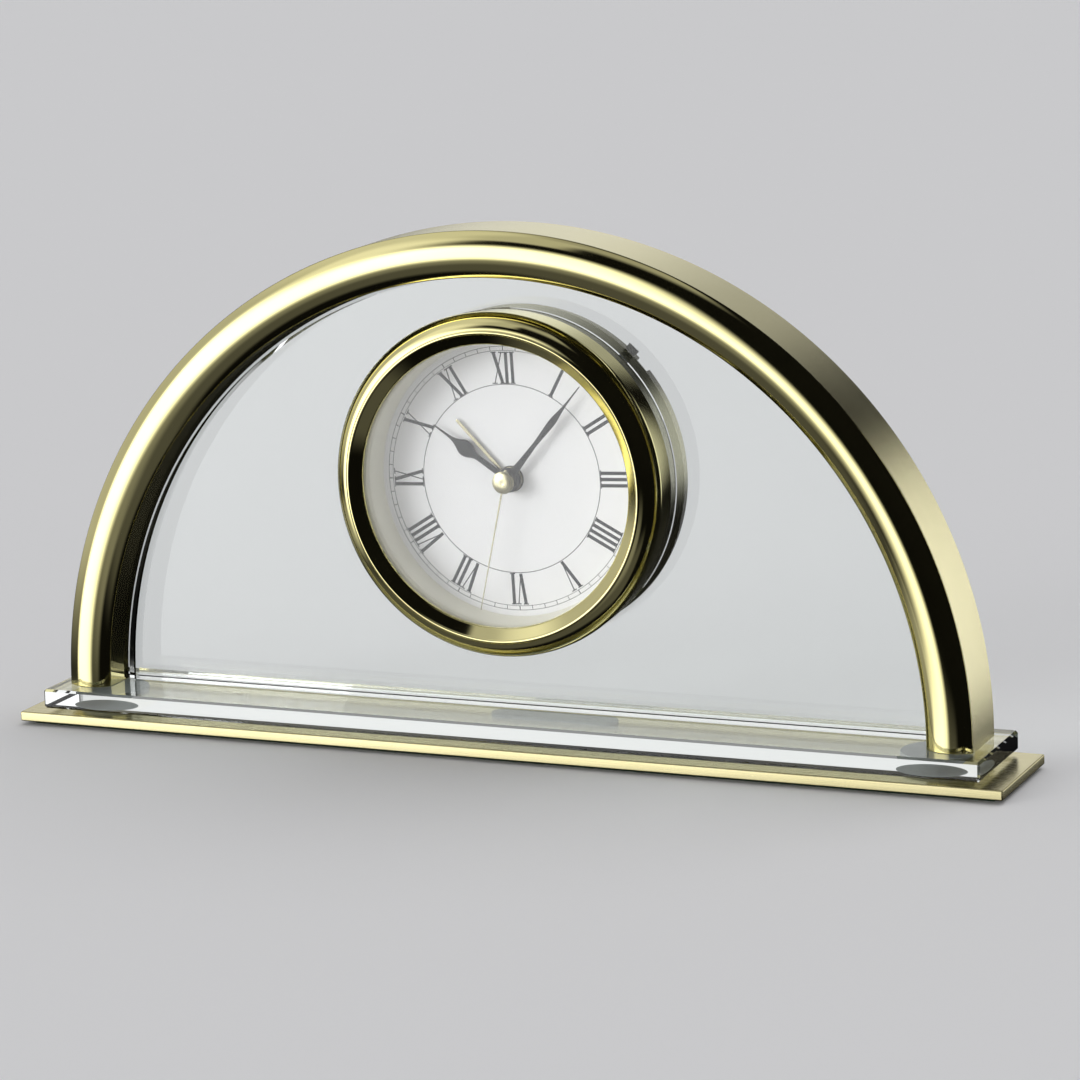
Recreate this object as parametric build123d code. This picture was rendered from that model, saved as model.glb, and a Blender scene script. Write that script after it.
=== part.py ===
from build123d import *
import os
from math import cos, degrees, radians, sin, sqrt

# Arched glass and brass mantel clock with a round alarm clock set in the glass.
# Millimetres. X runs along the base, -Y is the dial side, +Z is up.
# The origin is the middle of the underside of the felt.
# The dry cell sets the movement's case, the case sets the barrel, the barrel sets the bezel,
# and the bezel with the glass around it sets the arch, the slab and the plate.

# Base plate, its felt and the bonding pads under the glass slab
plate_end_margin = 6.5
plate_side_margin = 1.7
plate_thickness = 2.7
plate_edge_break = 0.4
felt_thickness = 1.0
felt_edge_margin = 3.0
felt_corner_radius = 2.0
bond_thickness = 1.0
end_bond_diameter = 19.0
end_bond_offset_y = -4.0
middle_bond_length = 36.0
middle_bond_width = 6.4
middle_bond_offset_x = 10.9
middle_bond_offset_y = 0.9

# Glass slab and upright glass panel
slab_end_margin = 4.2
slab_depth = 34.6
slab_thickness = 5.3
slab_bevel = 0.6
panel_thickness = 9.0
panel_bevel = 0.8
panel_glue_gap = 0.1
panel_rear_inset = 0.2
clock_bottom_gap = 16.2
clock_top_gap = 8.9

# Brass arch, a hollow section with a rounded front
arch_width = 12.4
arch_band_depth = 18.6
arch_front_bulge = 2.6
arch_front_y = -8.9
arch_wall = 1.4
plug_length = 8.0

# Clock barrel
barrel_case_gap = 0.645
barrel_wall = 1.2
barrel_rear_room = 1.2
sleeve_fit_gap = 0.05
sleeve_thickness = 0.3
barrel_lug_count = 3
barrel_lug_depth = 3.4
barrel_lug_width = 6.0
barrel_lug_length = 3.0

# Bezel
bezel_overhang = 1.3
bezel_foot_overhang = 0.8
bezel_corner_share = 0.67
bezel_crest_inset = 3.6
bezel_crest_y = -12.3
bezel_crest_half_width = 0.5
bezel_lip_inset = 6.7
bezel_lip_thickness = 1.2
bezel_lip_roll = 0.3
bezel_shoulder_y = -7.4

# Flat lens, its gasket and the sloping wall around the dial
lens_thickness = 1.8
lens_seat_inset = 4.2
gasket_width = 0.5
lens_front_y = -9.2
dial_wall_step = 1.4
dial_wall_slope = 2.4
inner_fit_gap = 0.1

# Dial and the plate that carries the movement
dial_front_y = 2.2
dial_thickness = 0.5
dial_hole_radius = 3.5
dial_ink_height = 0.05
dial_track_inset = 1.55
dial_numeral_room = 10.1
dial_line_width = 0.22
holder_thickness = 0.8

# Movement case
case_wall = 0.9
case_corner_radius = 4.0
case_post_radius = 1.8
case_post_inset = 3.1
screw_radius = 0.7
screw_head_radius = 1.5
screw_head_height = 0.6
screw_tip_engagement = 0.6
screw_head_gap = 0.2
thread_gap = 0.1

# Arbors at the hands, from the outside in
bush_radius = 3.2
bush_wall = 0.45
pipe_running_gap = 0.05
alarm_pipe_wall = 0.45
hour_pipe_wall = 0.65
bush_stand_out = 0.3
bush_tail = 0.2

# Hands
hand_thickness = 0.3
alarm_hand_front_y = 1.0
hour_hand_front_y = 0.1
minute_hand_front_y = -0.9
second_hand_front_y = -3.2
hub_collar_height = 0.6
alarm_collar_radius = 3.3
hour_collar_radius = 3.3
minute_collar_radius = 2.7
second_collar_radius = 1.4
cap_radius = 3.0
cap_height = 0.8
cap_round = 0.3
alarm_tip_gap = 3.9
alarm_hand_width = 0.7
hour_arm_width = 1.5
hour_needle_length = 6.2
hour_spade_taper = 4.5
hour_spade_swell = 3.1
hour_spade_width = 4.4
hour_spade_shoulder_share = 0.8
hour_tip_width = 0.35
minute_tip_gap = 1.85
minute_root_width = 2.1
minute_neck_width = 0.8
minute_lance_width = 1.6
minute_needle_length = 6.7
minute_lance_taper = 5.9
minute_lance_swell = 7.6
minute_tip_width = 0.3
second_tip_overlap = 0.1
second_hand_width = 0.4
second_tail_length = 3.4
hand_taper_share = 0.5

# Where the hands stand, in degrees clockwise from twelve
second_angle = 192.2
minute_angle = 39.2
hour_angle = 303.27
alarm_angle = 315.9

# Wheels
fine_module = 0.3
motion_module = 0.45
wheel_thickness = 0.6
pinion_length = 0.9
level_gap = 0.3
first_wheel_gap = 0.3
tooth_tip_share = 0.8
tooth_root_share = 1.15
tooth_half_root_share = 0.29
tooth_half_pitch_share = 0.2
tooth_half_tip_share = 0.11
mesh_slack = 0.04
cannon_teeth = 12
minute_wheel_teeth = 36
minute_pinion_teeth = 10
hour_wheel_teeth = 40
alarm_wheel_teeth = 40
alarm_pinion_teeth = 20
seconds_wheel_teeth = 60
third_pinion_teeth = 10
third_wheel_teeth = 50
rotor_pinion_teeth = 10
seconds_pinion_teeth = 8
drive_wheel_teeth = 60
drive_pinion_teeth = 8
centre_wheel_teeth = 64
arbor_radius = 0.8
thin_arbor_radius = 0.5
seconds_arbor_radius = 0.65
arbor_running_gap = 0.05
bearing_depth = 0.5
rotor_radius = 2.2
rotor_length = 2.2
time_arbor_angle = 150.0
alarm_arbor_angle = 30.0
third_arbor_angle = 90.0
rotor_arbor_angle = 20.0
drive_arbor_angle = -30.0

# Knobs
knob_radius = 5.0
knob_length = 4.6
knob_cover_gap = 0.4
knob_flute_count = 24
knob_flute_depth = 0.3
knob_hole_gap = 0.6

# Motor, circuit, buzzer and battery
stator_thickness = 0.8
stator_width = 5.0
stator_hole_gap = 0.5
coil_radius = 2.4
coil_core_radius = 0.9
coil_length = 15.0
coil_wall_gap = 1.2
coil_cheek_thickness = 0.8
coil_cheek_radius = 2.7
board_width = 11.0
board_height = 12.0
board_thickness = 1.0
board_wall_gap = 0.9
board_centre_z = 13.8
board_post_radius = 1.0
board_post_margin = 2.0
board_lid_gap = 0.3
crystal_radius = 1.0
crystal_length = 6.0
buzzer_radius = 6.4
buzzer_thickness = 0.5
buzzer_centre_x = -13.4
buzzer_centre_z = -4.8
buzzer_rim_height = 1.2
buzzer_rim_wall = 0.6
battery_radius = 5.25
battery_length = 44.5
battery_cap_radius = 1.9
battery_cap_height = 0.8
battery_end_room = 5.85
battery_wall_gap = 1.95
battery_depth_gap = 0.15
battery_bay_gap = 0.25
contact_thickness = 0.4
contact_width = 6.0
contact_gap = 0.1
spring_wire_radius = 0.25
spring_radius = 2.4
spring_turns = 2.5
spring_length = 1.6

# Rear cover, battery door and alarm switch
cover_thickness = 1.0
cover_fit_gap = 0.1
cover_slot_count = 5
cover_slot_width = 1.2
cover_slot_length = 9.0
cover_slot_pitch = 2.6
hatch_margin = 0.7
door_gap = 0.3
door_overlap = 1.1
door_thickness = 1.2
door_rib_count = 5
door_rib_pitch = 1.6
door_rib_height = 0.4
door_rib_width = 0.6
door_rib_length = 14.0
rail_width = 1.4
rail_lip = 1.0
rail_gap = 0.3
switch_angle = 42.0
switch_travel = 12.0
switch_length = 16.6
switch_pin_radius = 0.9
switch_pin_head_radius = 1.6
switch_pin_head_height = 0.25
switch_eye_radius = 2.4
switch_arm_width = 2.6
switch_thickness = 0.5
switch_stand_out = 1.7
switch_tab_width = 3.3
switch_side_gap = 0.4
switch_level_gap = 0.1

# A little more than any cut needs
overrun = 1.0

# Movement case, around the dry cell
case_size = battery_length + 2 * (battery_end_room + case_wall)
case_inner_half = case_size / 2 - case_wall
case_inner_depth = 2 * (battery_radius + battery_depth_gap)
case_corner_reach = (case_size / 2 - case_corner_radius) * sqrt(2) + case_corner_radius
case_post_offset = case_size / 2 - case_post_inset
battery_centre_z = battery_wall_gap + battery_radius - case_inner_half
battery_bay_height = 2 * (battery_radius + battery_bay_gap)
coil_offset_z = case_inner_half - coil_wall_gap - coil_cheek_radius
board_centre_x = board_wall_gap + board_width / 2 - case_inner_half

# Barrel, bezel and dial, around the case
barrel_inner_radius = case_corner_reach + barrel_case_gap + barrel_lug_depth
barrel_radius = barrel_inner_radius + barrel_wall
sleeve_inner_radius = barrel_radius + sleeve_fit_gap
sleeve_outer_radius = sleeve_inner_radius + sleeve_thickness
bezel_radius = barrel_radius + bezel_overhang
bezel_foot_radius = barrel_radius + bezel_foot_overhang
bezel_crest_radius = barrel_radius - bezel_crest_inset
bezel_lip_radius = barrel_radius - bezel_lip_inset
lens_radius = barrel_radius - lens_seat_inset
lens_rear_y = lens_front_y + lens_thickness
bezel_bore_radius = lens_radius + gasket_width
inner_part_radius = barrel_inner_radius - inner_fit_gap
dial_wall_front_radius = bezel_lip_radius + dial_wall_step
dial_wall_rear_radius = dial_wall_front_radius - dial_wall_slope
dial_track_radius = dial_wall_rear_radius - dial_track_inset
dial_inner_circle_radius = dial_track_radius - dial_numeral_room
lug_middle = barrel_inner_radius - barrel_lug_depth / 2
switch_pivot_radius = barrel_radius - switch_length

# Arch, slab and plate, around the clock
clock_above_slab = bezel_radius + clock_bottom_gap
arch_inner_radius = clock_above_slab + bezel_radius + clock_top_gap
arch_radius = arch_inner_radius + arch_width
panel_radius = arch_inner_radius - panel_glue_gap
slab_length = 2 * (arch_radius + slab_end_margin)
plate_length = slab_length + 2 * plate_end_margin
plate_depth = slab_depth + 2 * plate_side_margin
plate_top = felt_thickness + plate_thickness
slab_bottom = plate_top + bond_thickness
slab_top = slab_bottom + slab_thickness
clock_height = slab_top + clock_above_slab
clock_axis = Axis((0, 0, clock_height), (0, 1, 0))
arch_axis = Axis((0, 0, slab_top), (0, -1, 0))
arch_rear_y = arch_front_y + arch_band_depth
panel_rear_y = arch_rear_y - panel_rear_inset
panel_front_y = panel_rear_y - panel_thickness

# Depths from the dial back
dial_rear_y = dial_front_y + dial_thickness
case_front_y = dial_rear_y + holder_thickness
case_inner_front_y = case_front_y + case_wall
case_inner_rear_y = case_inner_front_y + case_inner_depth
case_rear_y = case_inner_rear_y + case_wall
bearing_front_y = case_inner_front_y - bearing_depth
bearing_rear_y = case_inner_rear_y + bearing_depth
arbor_front_y = bearing_front_y + thread_gap
arbor_rear_y = bearing_rear_y - thread_gap
screw_seat_y = case_rear_y - screw_head_height
cover_front_y = case_rear_y + barrel_rear_room
barrel_rear_y = cover_front_y + cover_thickness
cover_radius = barrel_inner_radius - cover_fit_gap
knob_front_y = barrel_rear_y + knob_cover_gap
knob_rear_y = knob_front_y + knob_length
knob_arbor_rear_y = knob_rear_y - knob_length / 2
board_front_y = case_inner_rear_y - board_lid_gap - 2 * crystal_radius - board_thickness
battery_y = (case_inner_front_y + case_inner_rear_y) / 2
switch_front_y = case_rear_y + switch_level_gap

# Hands, whose tips follow the dial's circles
hour_hand_length = dial_inner_circle_radius
hour_spade_end = hour_hand_length - hour_needle_length
hour_spade_middle = hour_spade_end - hour_spade_taper
hour_spade_start = hour_spade_middle - hour_spade_swell
minute_hand_length = dial_track_radius - minute_tip_gap
minute_needle_start = minute_hand_length - minute_needle_length
minute_lance = minute_needle_start - minute_lance_taper
minute_neck = minute_lance - minute_lance_swell
second_hand_length = dial_track_radius + second_tip_overlap
alarm_hand_length = dial_inner_circle_radius - alarm_tip_gap

# Hatch and door, around the dry cell
hatch_length = battery_length + 2 * hatch_margin
hatch_height = battery_bay_height + 2 * hatch_margin
door_length = hatch_length + 2 * door_overlap
door_height = hatch_height + 2 * door_overlap

# Pipe radii, each running inside the last
bush_bore = bush_radius - bush_wall
alarm_pipe_radius = bush_bore - pipe_running_gap
alarm_pipe_bore = alarm_pipe_radius - alarm_pipe_wall
hour_pipe_radius = alarm_pipe_bore - pipe_running_gap
hour_pipe_bore = hour_pipe_radius - hour_pipe_wall
minute_pipe_radius = hour_pipe_bore - pipe_running_gap
minute_pipe_bore = seconds_arbor_radius + pipe_running_gap

# Wheel levels from the dial side to the back
alarm_wheel_y = case_inner_front_y + first_wheel_gap
hour_wheel_y = alarm_wheel_y + wheel_thickness + level_gap
minute_wheel_y = hour_wheel_y + pinion_length + level_gap
cannon_rear_y = minute_wheel_y + pinion_length
drive_wheel_y = cannon_rear_y + wheel_thickness + level_gap
seconds_wheel_y = drive_wheel_y + wheel_thickness + level_gap
third_wheel_y = seconds_wheel_y + pinion_length + level_gap
rotor_magnet_y = third_wheel_y + pinion_length + level_gap
stator_front_y = rotor_magnet_y + (rotor_length - stator_thickness) / 2

# Centre distances
hour_module = motion_module * (cannon_teeth + minute_wheel_teeth) / (minute_pinion_teeth + hour_wheel_teeth)
drive_centre_teeth = drive_pinion_teeth + centre_wheel_teeth
centre_module = fine_module * (seconds_pinion_teeth + drive_wheel_teeth) / drive_centre_teeth
time_arbor_distance = motion_module * (cannon_teeth + minute_wheel_teeth) / 2 + mesh_slack
alarm_arbor_distance = motion_module * (alarm_wheel_teeth + alarm_pinion_teeth) / 2 + mesh_slack
third_arbor_distance = fine_module * (seconds_wheel_teeth + third_pinion_teeth) / 2 + mesh_slack
drive_arbor_distance = fine_module * (seconds_pinion_teeth + drive_wheel_teeth) / 2 + mesh_slack
rotor_arbor_distance = fine_module * (third_wheel_teeth + rotor_pinion_teeth) / 2 + mesh_slack


def polar(distance, angle, start=(0.0, 0.0)):
    """Point at a distance and an angle, measured from +X towards +Z, from a start point."""
    return (start[0] + distance * cos(radians(angle)), start[1] + distance * sin(radians(angle)))


time_arbor = polar(time_arbor_distance, time_arbor_angle)
alarm_arbor = polar(alarm_arbor_distance, alarm_arbor_angle)
third_arbor = polar(third_arbor_distance, third_arbor_angle)
drive_arbor = polar(drive_arbor_distance, drive_arbor_angle)
rotor_arbor = polar(rotor_arbor_distance, rotor_arbor_angle, third_arbor)


def face_plane(y):
    """Plane across the clock axis, seen from the dial side, with its origin on the axis."""
    return Plane(origin=(0, y, clock_height), x_dir=(1, 0, 0), z_dir=(0, -1, 0))


def slab_between(sketch, front_y, rear_y):
    """A sketch in clock coordinates made solid from one depth to another."""
    return extrude(face_plane(rear_y) * sketch, amount=rear_y - front_y)


def disc(radius, front_y, rear_y, centre=(0, 0)):
    """Round solid across the clock axis."""
    return slab_between(Pos(*centre) * Circle(radius), front_y, rear_y)


def tube(outer, inner, front_y, rear_y, centre=(0, 0)):
    """Round tube along the clock axis."""
    return slab_between(Pos(*centre) * (Circle(outer) - Circle(inner)), front_y, rear_y)


def box_between(width, height, front_y, rear_y, centre=(0, 0)):
    """Box across the clock axis, centred on a point in clock coordinates."""
    return slab_between(Pos(*centre) * Rectangle(width, height), front_y, rear_y)


def turned(points):
    """Ring turned about the clock axis from corners given as radius and depth."""
    outline = Polyline(*[(r, y, clock_height) for r, y in points], close=True)
    return revolve(make_face(outline), clock_axis, 360)


def save(node, *shapes):
    """Write one node, made of one or more separate solids."""
    solids = [solid for shape in shapes for solid in shape.solids()]
    export_step(solids[0] if len(solids) == 1 else Compound(children=solids), f"parts/{node}.step")


# Base


def make_base_plate():
    """Brass plate with its edges broken."""
    plate = Pos(0, 0, felt_thickness + plate_thickness / 2) * Box(plate_length, plate_depth, plate_thickness)
    return chamfer(plate.edges().filter_by(Plane.XY), plate_edge_break)


def make_felt():
    """Felt sheet under the plate, set in from its edges."""
    outline = RectangleRounded(plate_length - 2 * felt_edge_margin, plate_depth - 2 * felt_edge_margin,
                               felt_corner_radius)
    return extrude(outline, amount=felt_thickness)


def make_bond_pads():
    """Round pads under the arch feet and a long one right of the middle, all under the slab."""
    middle_z = (plate_top + slab_bottom) / 2
    foot_x = arch_radius - arch_width / 2 - end_bond_diameter / 4
    end_pad = Cylinder(end_bond_diameter / 2, bond_thickness)
    ends = [Pos(side * foot_x, end_bond_offset_y, middle_z) * end_pad for side in (-1, 1)]
    middle_outline = SlotOverall(middle_bond_length, middle_bond_width)
    middle = extrude(middle_outline, amount=bond_thickness / 2, both=True)
    middle_pad = Pos(middle_bond_offset_x, middle_bond_offset_y, middle_z) * middle
    return [ends[0], middle_pad, ends[1]]


def make_slab():
    """Glass slab with polished bevels."""
    slab = Pos(0, 0, (slab_bottom + slab_top) / 2) * Box(slab_length, slab_depth, slab_thickness)
    return chamfer(slab.edges(), slab_bevel)


# Arch and panel


def arch_section(inset):
    """Section of the arch as a face, drawn inwards from its outside by an inset."""
    outer = arch_radius - inset
    inner = arch_inner_radius + inset
    rear = arch_rear_y - inset
    middle = (outer + inner) / 2
    nose = arch_front_y - arch_front_bulge + inset
    half_outer = arch_width / 2
    nose_radius = (half_outer ** 2 + arch_front_bulge ** 2) / (2 * arch_front_bulge) - inset
    shoulder = nose + nose_radius - sqrt(nose_radius ** 2 - ((outer - inner) / 2) ** 2)
    front = ThreePointArc((inner, shoulder, slab_top), (middle, nose, slab_top), (outer, shoulder, slab_top))
    sides = Polyline((outer, shoulder, slab_top), (outer, rear, slab_top), (inner, rear, slab_top),
                     (inner, shoulder, slab_top))
    return make_face(front.edges() + sides.edges())


def make_arch():
    """Half circle of hollow section that stands on the slab."""
    return revolve(arch_section(0), arch_axis, 180) - revolve(arch_section(arch_wall), arch_axis, 180)


def make_foot_plugs():
    """Plugs that close the two ends of the hollow arch."""
    turn = degrees(plug_length / arch_radius)
    right = revolve(arch_section(arch_wall), arch_axis, turn)
    return [right, mirror(right, Plane.YZ)]


def make_panel():
    """Half round glass panel with a round hole for the clock and a bevelled rim."""
    ground = Plane(origin=(0, panel_rear_y, slab_top), x_dir=(1, 0, 0), z_dir=(0, -1, 0))
    half = Circle(panel_radius) & Pos(0, panel_radius) * Rectangle(2 * panel_radius, 2 * panel_radius)
    panel = extrude(ground * half, amount=panel_thickness)
    rim = panel.edges().filter_by(GeomType.CIRCLE)
    panel = chamfer(rim, panel_bevel)
    return panel - disc(sleeve_outer_radius, panel_front_y - overrun, panel_rear_y + overrun)


# Clock barrel, bezel and front


def lug_angles():
    """Angles of the rear cover's lugs, clear of the alarm switch and the battery."""
    return [(switch_angle + 180 + turn * 360 / barrel_lug_count) % 360 for turn in range(barrel_lug_count)]


def switch_pivot():
    """Place of the pin that the alarm switch turns on."""
    return polar(switch_pivot_radius, 90 - switch_angle)


def switch_reach():
    """Length of the alarm switch from its pin to the end that stands out of the rim."""
    return barrel_radius + switch_stand_out - switch_pivot_radius


def switch_notch():
    """Area, as a sketch, that the alarm switch sweeps through the rim."""
    reach = switch_reach()
    bar = Pos(reach, 0) * Rectangle(reach, switch_tab_width + 2 * switch_side_gap)
    turns = (0, switch_travel / 2, switch_travel)
    bars = [Rot(0, 0, 90 - switch_angle - turn) * bar for turn in turns]
    return Pos(*switch_pivot()) * (bars[0] + bars[1] + bars[2])


def make_barrel():
    """Satin tube that carries the clock, with inner lugs and a notch for the switch."""
    barrel = tube(barrel_radius, barrel_inner_radius, lens_rear_y, barrel_rear_y)
    lug_length = barrel_lug_depth + barrel_wall
    lug_centre = barrel_inner_radius - barrel_lug_depth + lug_length / 2
    for angle in lug_angles():
        lug = Rot(0, 0, angle) * Pos(lug_centre, 0) * Rectangle(lug_length, barrel_lug_width)
        lug = lug & Circle(barrel_inner_radius + barrel_wall / 2)
        hole = Pos(*polar(lug_middle, angle)) * Circle(screw_radius + thread_gap)
        barrel += slab_between(lug - hole, cover_front_y - barrel_lug_length, cover_front_y)
    return barrel - slab_between(switch_notch(), case_rear_y, barrel_rear_y + overrun)


def make_sleeve():
    """Clear sleeve that holds the barrel in the panel."""
    return tube(sleeve_outer_radius, sleeve_inner_radius, panel_front_y, panel_rear_y)


def make_bezel():
    """Polished bezel with a raised crest and a rolled lip, standing on the glass."""
    z = clock_height
    crest_out = (bezel_crest_radius + bezel_crest_half_width, bezel_crest_y)
    crest_in = (bezel_crest_radius - bezel_crest_half_width, bezel_crest_y)
    crest_nose = (bezel_crest_radius, bezel_crest_y - bezel_crest_half_width / 2)
    shoulder = (bezel_radius, bezel_shoulder_y)
    round_middle = (crest_out[0] + (shoulder[0] - crest_out[0]) * bezel_corner_share,
                    shoulder[1] + (crest_out[1] - shoulder[1]) * bezel_corner_share)
    lip_front = lens_front_y - bezel_lip_thickness
    lip_nose = (bezel_lip_radius - bezel_lip_roll, (lip_front + lens_front_y) / 2)
    lip_in = (bezel_lip_radius, lip_front)
    curves = [
        ThreePointArc((*crest_in, z), (*crest_nose, z), (*crest_out, z)),
        ThreePointArc((*crest_out, z), (*round_middle, z), (*shoulder, z)),
        Polyline((*shoulder, z), (bezel_foot_radius, panel_front_y, z), (barrel_radius, panel_front_y, z),
                 (barrel_radius, lens_rear_y, z), (bezel_bore_radius, lens_rear_y, z),
                 (bezel_bore_radius, lens_front_y, z), (bezel_lip_radius, lens_front_y, z)),
        ThreePointArc((bezel_lip_radius, lens_front_y, z), (*lip_nose, z), (*lip_in, z)),
        Line((*lip_in, z), (*crest_in, z)),
    ]
    edges = [edge for curve in curves for edge in curve.edges()]
    return revolve(make_face(edges), clock_axis, 360)


def make_lens():
    """Flat glass lens."""
    return disc(lens_radius, lens_front_y, lens_rear_y)


def make_gasket():
    """Ring around the rim of the lens."""
    return tube(bezel_bore_radius, lens_radius, lens_front_y, lens_rear_y)


def make_dial_wall():
    """Sloping cream ring between the lens and the dial."""
    return turned([(dial_wall_front_radius, lens_rear_y), (inner_part_radius, lens_rear_y),
                   (inner_part_radius, dial_front_y), (dial_wall_rear_radius, dial_front_y)])


def make_dial():
    """Dial plate with its printed circles raised by the height of the ink."""
    dial = tube(inner_part_radius, dial_hole_radius, dial_front_y, dial_rear_y)
    for radius in (dial_inner_circle_radius, dial_track_radius):
        dial += tube(radius + dial_line_width / 2, radius - dial_line_width / 2,
                     dial_front_y - dial_ink_height, dial_rear_y)
    return dial


# Movement case and centre


def post_places():
    """Places of the four case screws."""
    return [(sx * case_post_offset, sz * case_post_offset) for sx in (-1, 1) for sz in (-1, 1)]


def make_holder():
    """Plate behind the dial that the movement is screwed to."""
    holder = tube(inner_part_radius, dial_hole_radius, dial_rear_y, case_front_y)
    for place in post_places():
        holder -= disc(screw_radius + thread_gap, dial_rear_y - overrun, case_front_y + overrun, place)
    return holder


def make_case_front():
    """Tray of the movement case, with screw posts and bearings for the back arbors."""
    outline = RectangleRounded(case_size, case_size, case_corner_radius)
    inner_size = case_size - 2 * case_wall
    hollow = RectangleRounded(inner_size, inner_size, case_corner_radius - case_wall)
    tray = slab_between(outline, case_front_y, case_inner_rear_y)
    tray -= slab_between(hollow, case_inner_front_y, case_inner_rear_y + overrun)
    for place in post_places():
        tray += disc(case_post_radius, case_front_y, case_inner_rear_y, place)
    for x, z in board_posts():
        tray += disc(board_post_radius, case_front_y, board_front_y, (x, z))
    for place in post_places():
        tray -= disc(screw_radius + thread_gap, case_front_y - overrun, case_inner_rear_y + overrun, place)
    tray -= disc(bush_radius, case_front_y - overrun, case_inner_front_y + overrun)
    for place, radius in ((time_arbor, arbor_radius), (alarm_arbor, arbor_radius),
                          (third_arbor, thin_arbor_radius), (drive_arbor, thin_arbor_radius)):
        tray -= disc(radius + arbor_running_gap, bearing_front_y, case_inner_front_y + overrun, place)
    return tray


def make_case_back():
    """Lid of the movement case, with bearings, the battery hatch and the buzzer's rim."""
    outline = RectangleRounded(case_size, case_size, case_corner_radius)
    lid = slab_between(outline, case_inner_rear_y, case_rear_y)
    lid += tube(buzzer_radius + buzzer_rim_wall, buzzer_radius, case_inner_rear_y - buzzer_rim_height,
                case_rear_y, (buzzer_centre_x, buzzer_centre_z))
    for place in post_places():
        lid -= disc(screw_radius + thread_gap, case_inner_rear_y - overrun, case_rear_y + overrun, place)
        lid -= disc(screw_head_radius + screw_head_gap, screw_seat_y, case_rear_y + overrun, place)
    for place in (time_arbor, alarm_arbor):
        lid -= disc(arbor_radius + arbor_running_gap, case_inner_rear_y - overrun,
                    case_rear_y + overrun, place)
    for place, radius in ((third_arbor, thin_arbor_radius), (rotor_arbor, thin_arbor_radius),
                          (drive_arbor, thin_arbor_radius), ((0, 0), seconds_arbor_radius)):
        lid -= disc(radius + arbor_running_gap, case_inner_rear_y - overrun, bearing_rear_y, place)
    return lid - box_between(hatch_length, battery_bay_height, case_inner_rear_y - overrun,
                             case_rear_y + overrun, (0, battery_centre_z))


def make_case_screws():
    """Four screws through the case into the holder, their heads sunk in the lid."""
    screws = []
    for place in post_places():
        shank = disc(screw_radius, case_front_y - screw_tip_engagement, screw_seat_y, place)
        head = disc(screw_head_radius, screw_seat_y, case_rear_y, place)
        screws.append(shank + head)
    return screws


def make_bush():
    """Fixed brass bush that the pipes turn in."""
    return tube(bush_radius, bush_bore, dial_front_y - bush_stand_out, case_inner_front_y + bush_tail)


# Wheels


def wheel_sketch(module, teeth, phase):
    """Toothed outline centred on its arbor, with one tooth at the phase angle."""
    pitch = module * teeth / 2
    step = 360 / teeth
    radii = (pitch - module * tooth_root_share, pitch, pitch + module * tooth_tip_share)
    halves = (tooth_half_root_share * step, tooth_half_pitch_share * step, tooth_half_tip_share * step)
    points = []
    for tooth in range(teeth):
        middle = phase + tooth * step
        flank = list(zip(radii, halves))
        points += [polar(radius, middle - half) for radius, half in flank]
        points += [polar(radius, middle + half) for radius, half in reversed(flank)]
    return make_face(Polyline(*points, close=True))


def wheel(module, teeth, front_y, rear_y, centre=(0, 0), phase=0.0, bore=0.0):
    """Toothed wheel or pinion across the clock axis."""
    outline = wheel_sketch(module, teeth, phase)
    if bore > 0:
        outline -= Circle(bore)
    return slab_between(Pos(*centre) * outline, front_y, rear_y)


def gap_phase(teeth, angle):
    """Phase that puts a gap between two teeth at an angle."""
    return angle + 180 / teeth


def make_alarm_wheel():
    """Alarm wheel with the pipe that carries the alarm hand."""
    pipe = tube(alarm_pipe_radius, alarm_pipe_bore, alarm_hand_front_y, alarm_wheel_y + wheel_thickness)
    return pipe + wheel(motion_module, alarm_wheel_teeth, alarm_wheel_y, alarm_wheel_y + wheel_thickness,
                        phase=alarm_arbor_angle, bore=alarm_pipe_bore)


def make_hour_wheel():
    """Hour wheel with the pipe that carries the hour hand."""
    pipe = tube(hour_pipe_radius, hour_pipe_bore, hour_hand_front_y, hour_wheel_y + wheel_thickness)
    return pipe + wheel(hour_module, hour_wheel_teeth, hour_wheel_y, hour_wheel_y + wheel_thickness,
                        phase=time_arbor_angle, bore=hour_pipe_bore)


def make_cannon_pinion():
    """Cannon pinion with the pipe that carries the minute hand."""
    pipe = tube(minute_pipe_radius, minute_pipe_bore, minute_hand_front_y, cannon_rear_y + wheel_thickness)
    return pipe + wheel(motion_module, cannon_teeth, minute_wheel_y, cannon_rear_y,
                        phase=time_arbor_angle, bore=minute_pipe_bore)


def make_minute_wheel():
    """Minute wheel, its pinion and the arbor that runs back to the setting knob."""
    back_angle = time_arbor_angle + 180
    arbor = disc(arbor_radius, arbor_front_y, knob_arbor_rear_y, time_arbor)
    pinion = wheel(hour_module, minute_pinion_teeth, hour_wheel_y, minute_wheel_y, time_arbor,
                   gap_phase(minute_pinion_teeth, back_angle))
    disc_wheel = wheel(motion_module, minute_wheel_teeth, minute_wheel_y, minute_wheel_y + wheel_thickness,
                       time_arbor, gap_phase(minute_wheel_teeth, back_angle))
    return arbor + pinion + disc_wheel


def make_alarm_setter():
    """Alarm setting pinion on its arbor."""
    arbor = disc(arbor_radius, arbor_front_y, knob_arbor_rear_y, alarm_arbor)
    return arbor + wheel(motion_module, alarm_pinion_teeth, alarm_wheel_y, alarm_wheel_y + pinion_length,
                         alarm_arbor, gap_phase(alarm_pinion_teeth, alarm_arbor_angle + 180))


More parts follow.
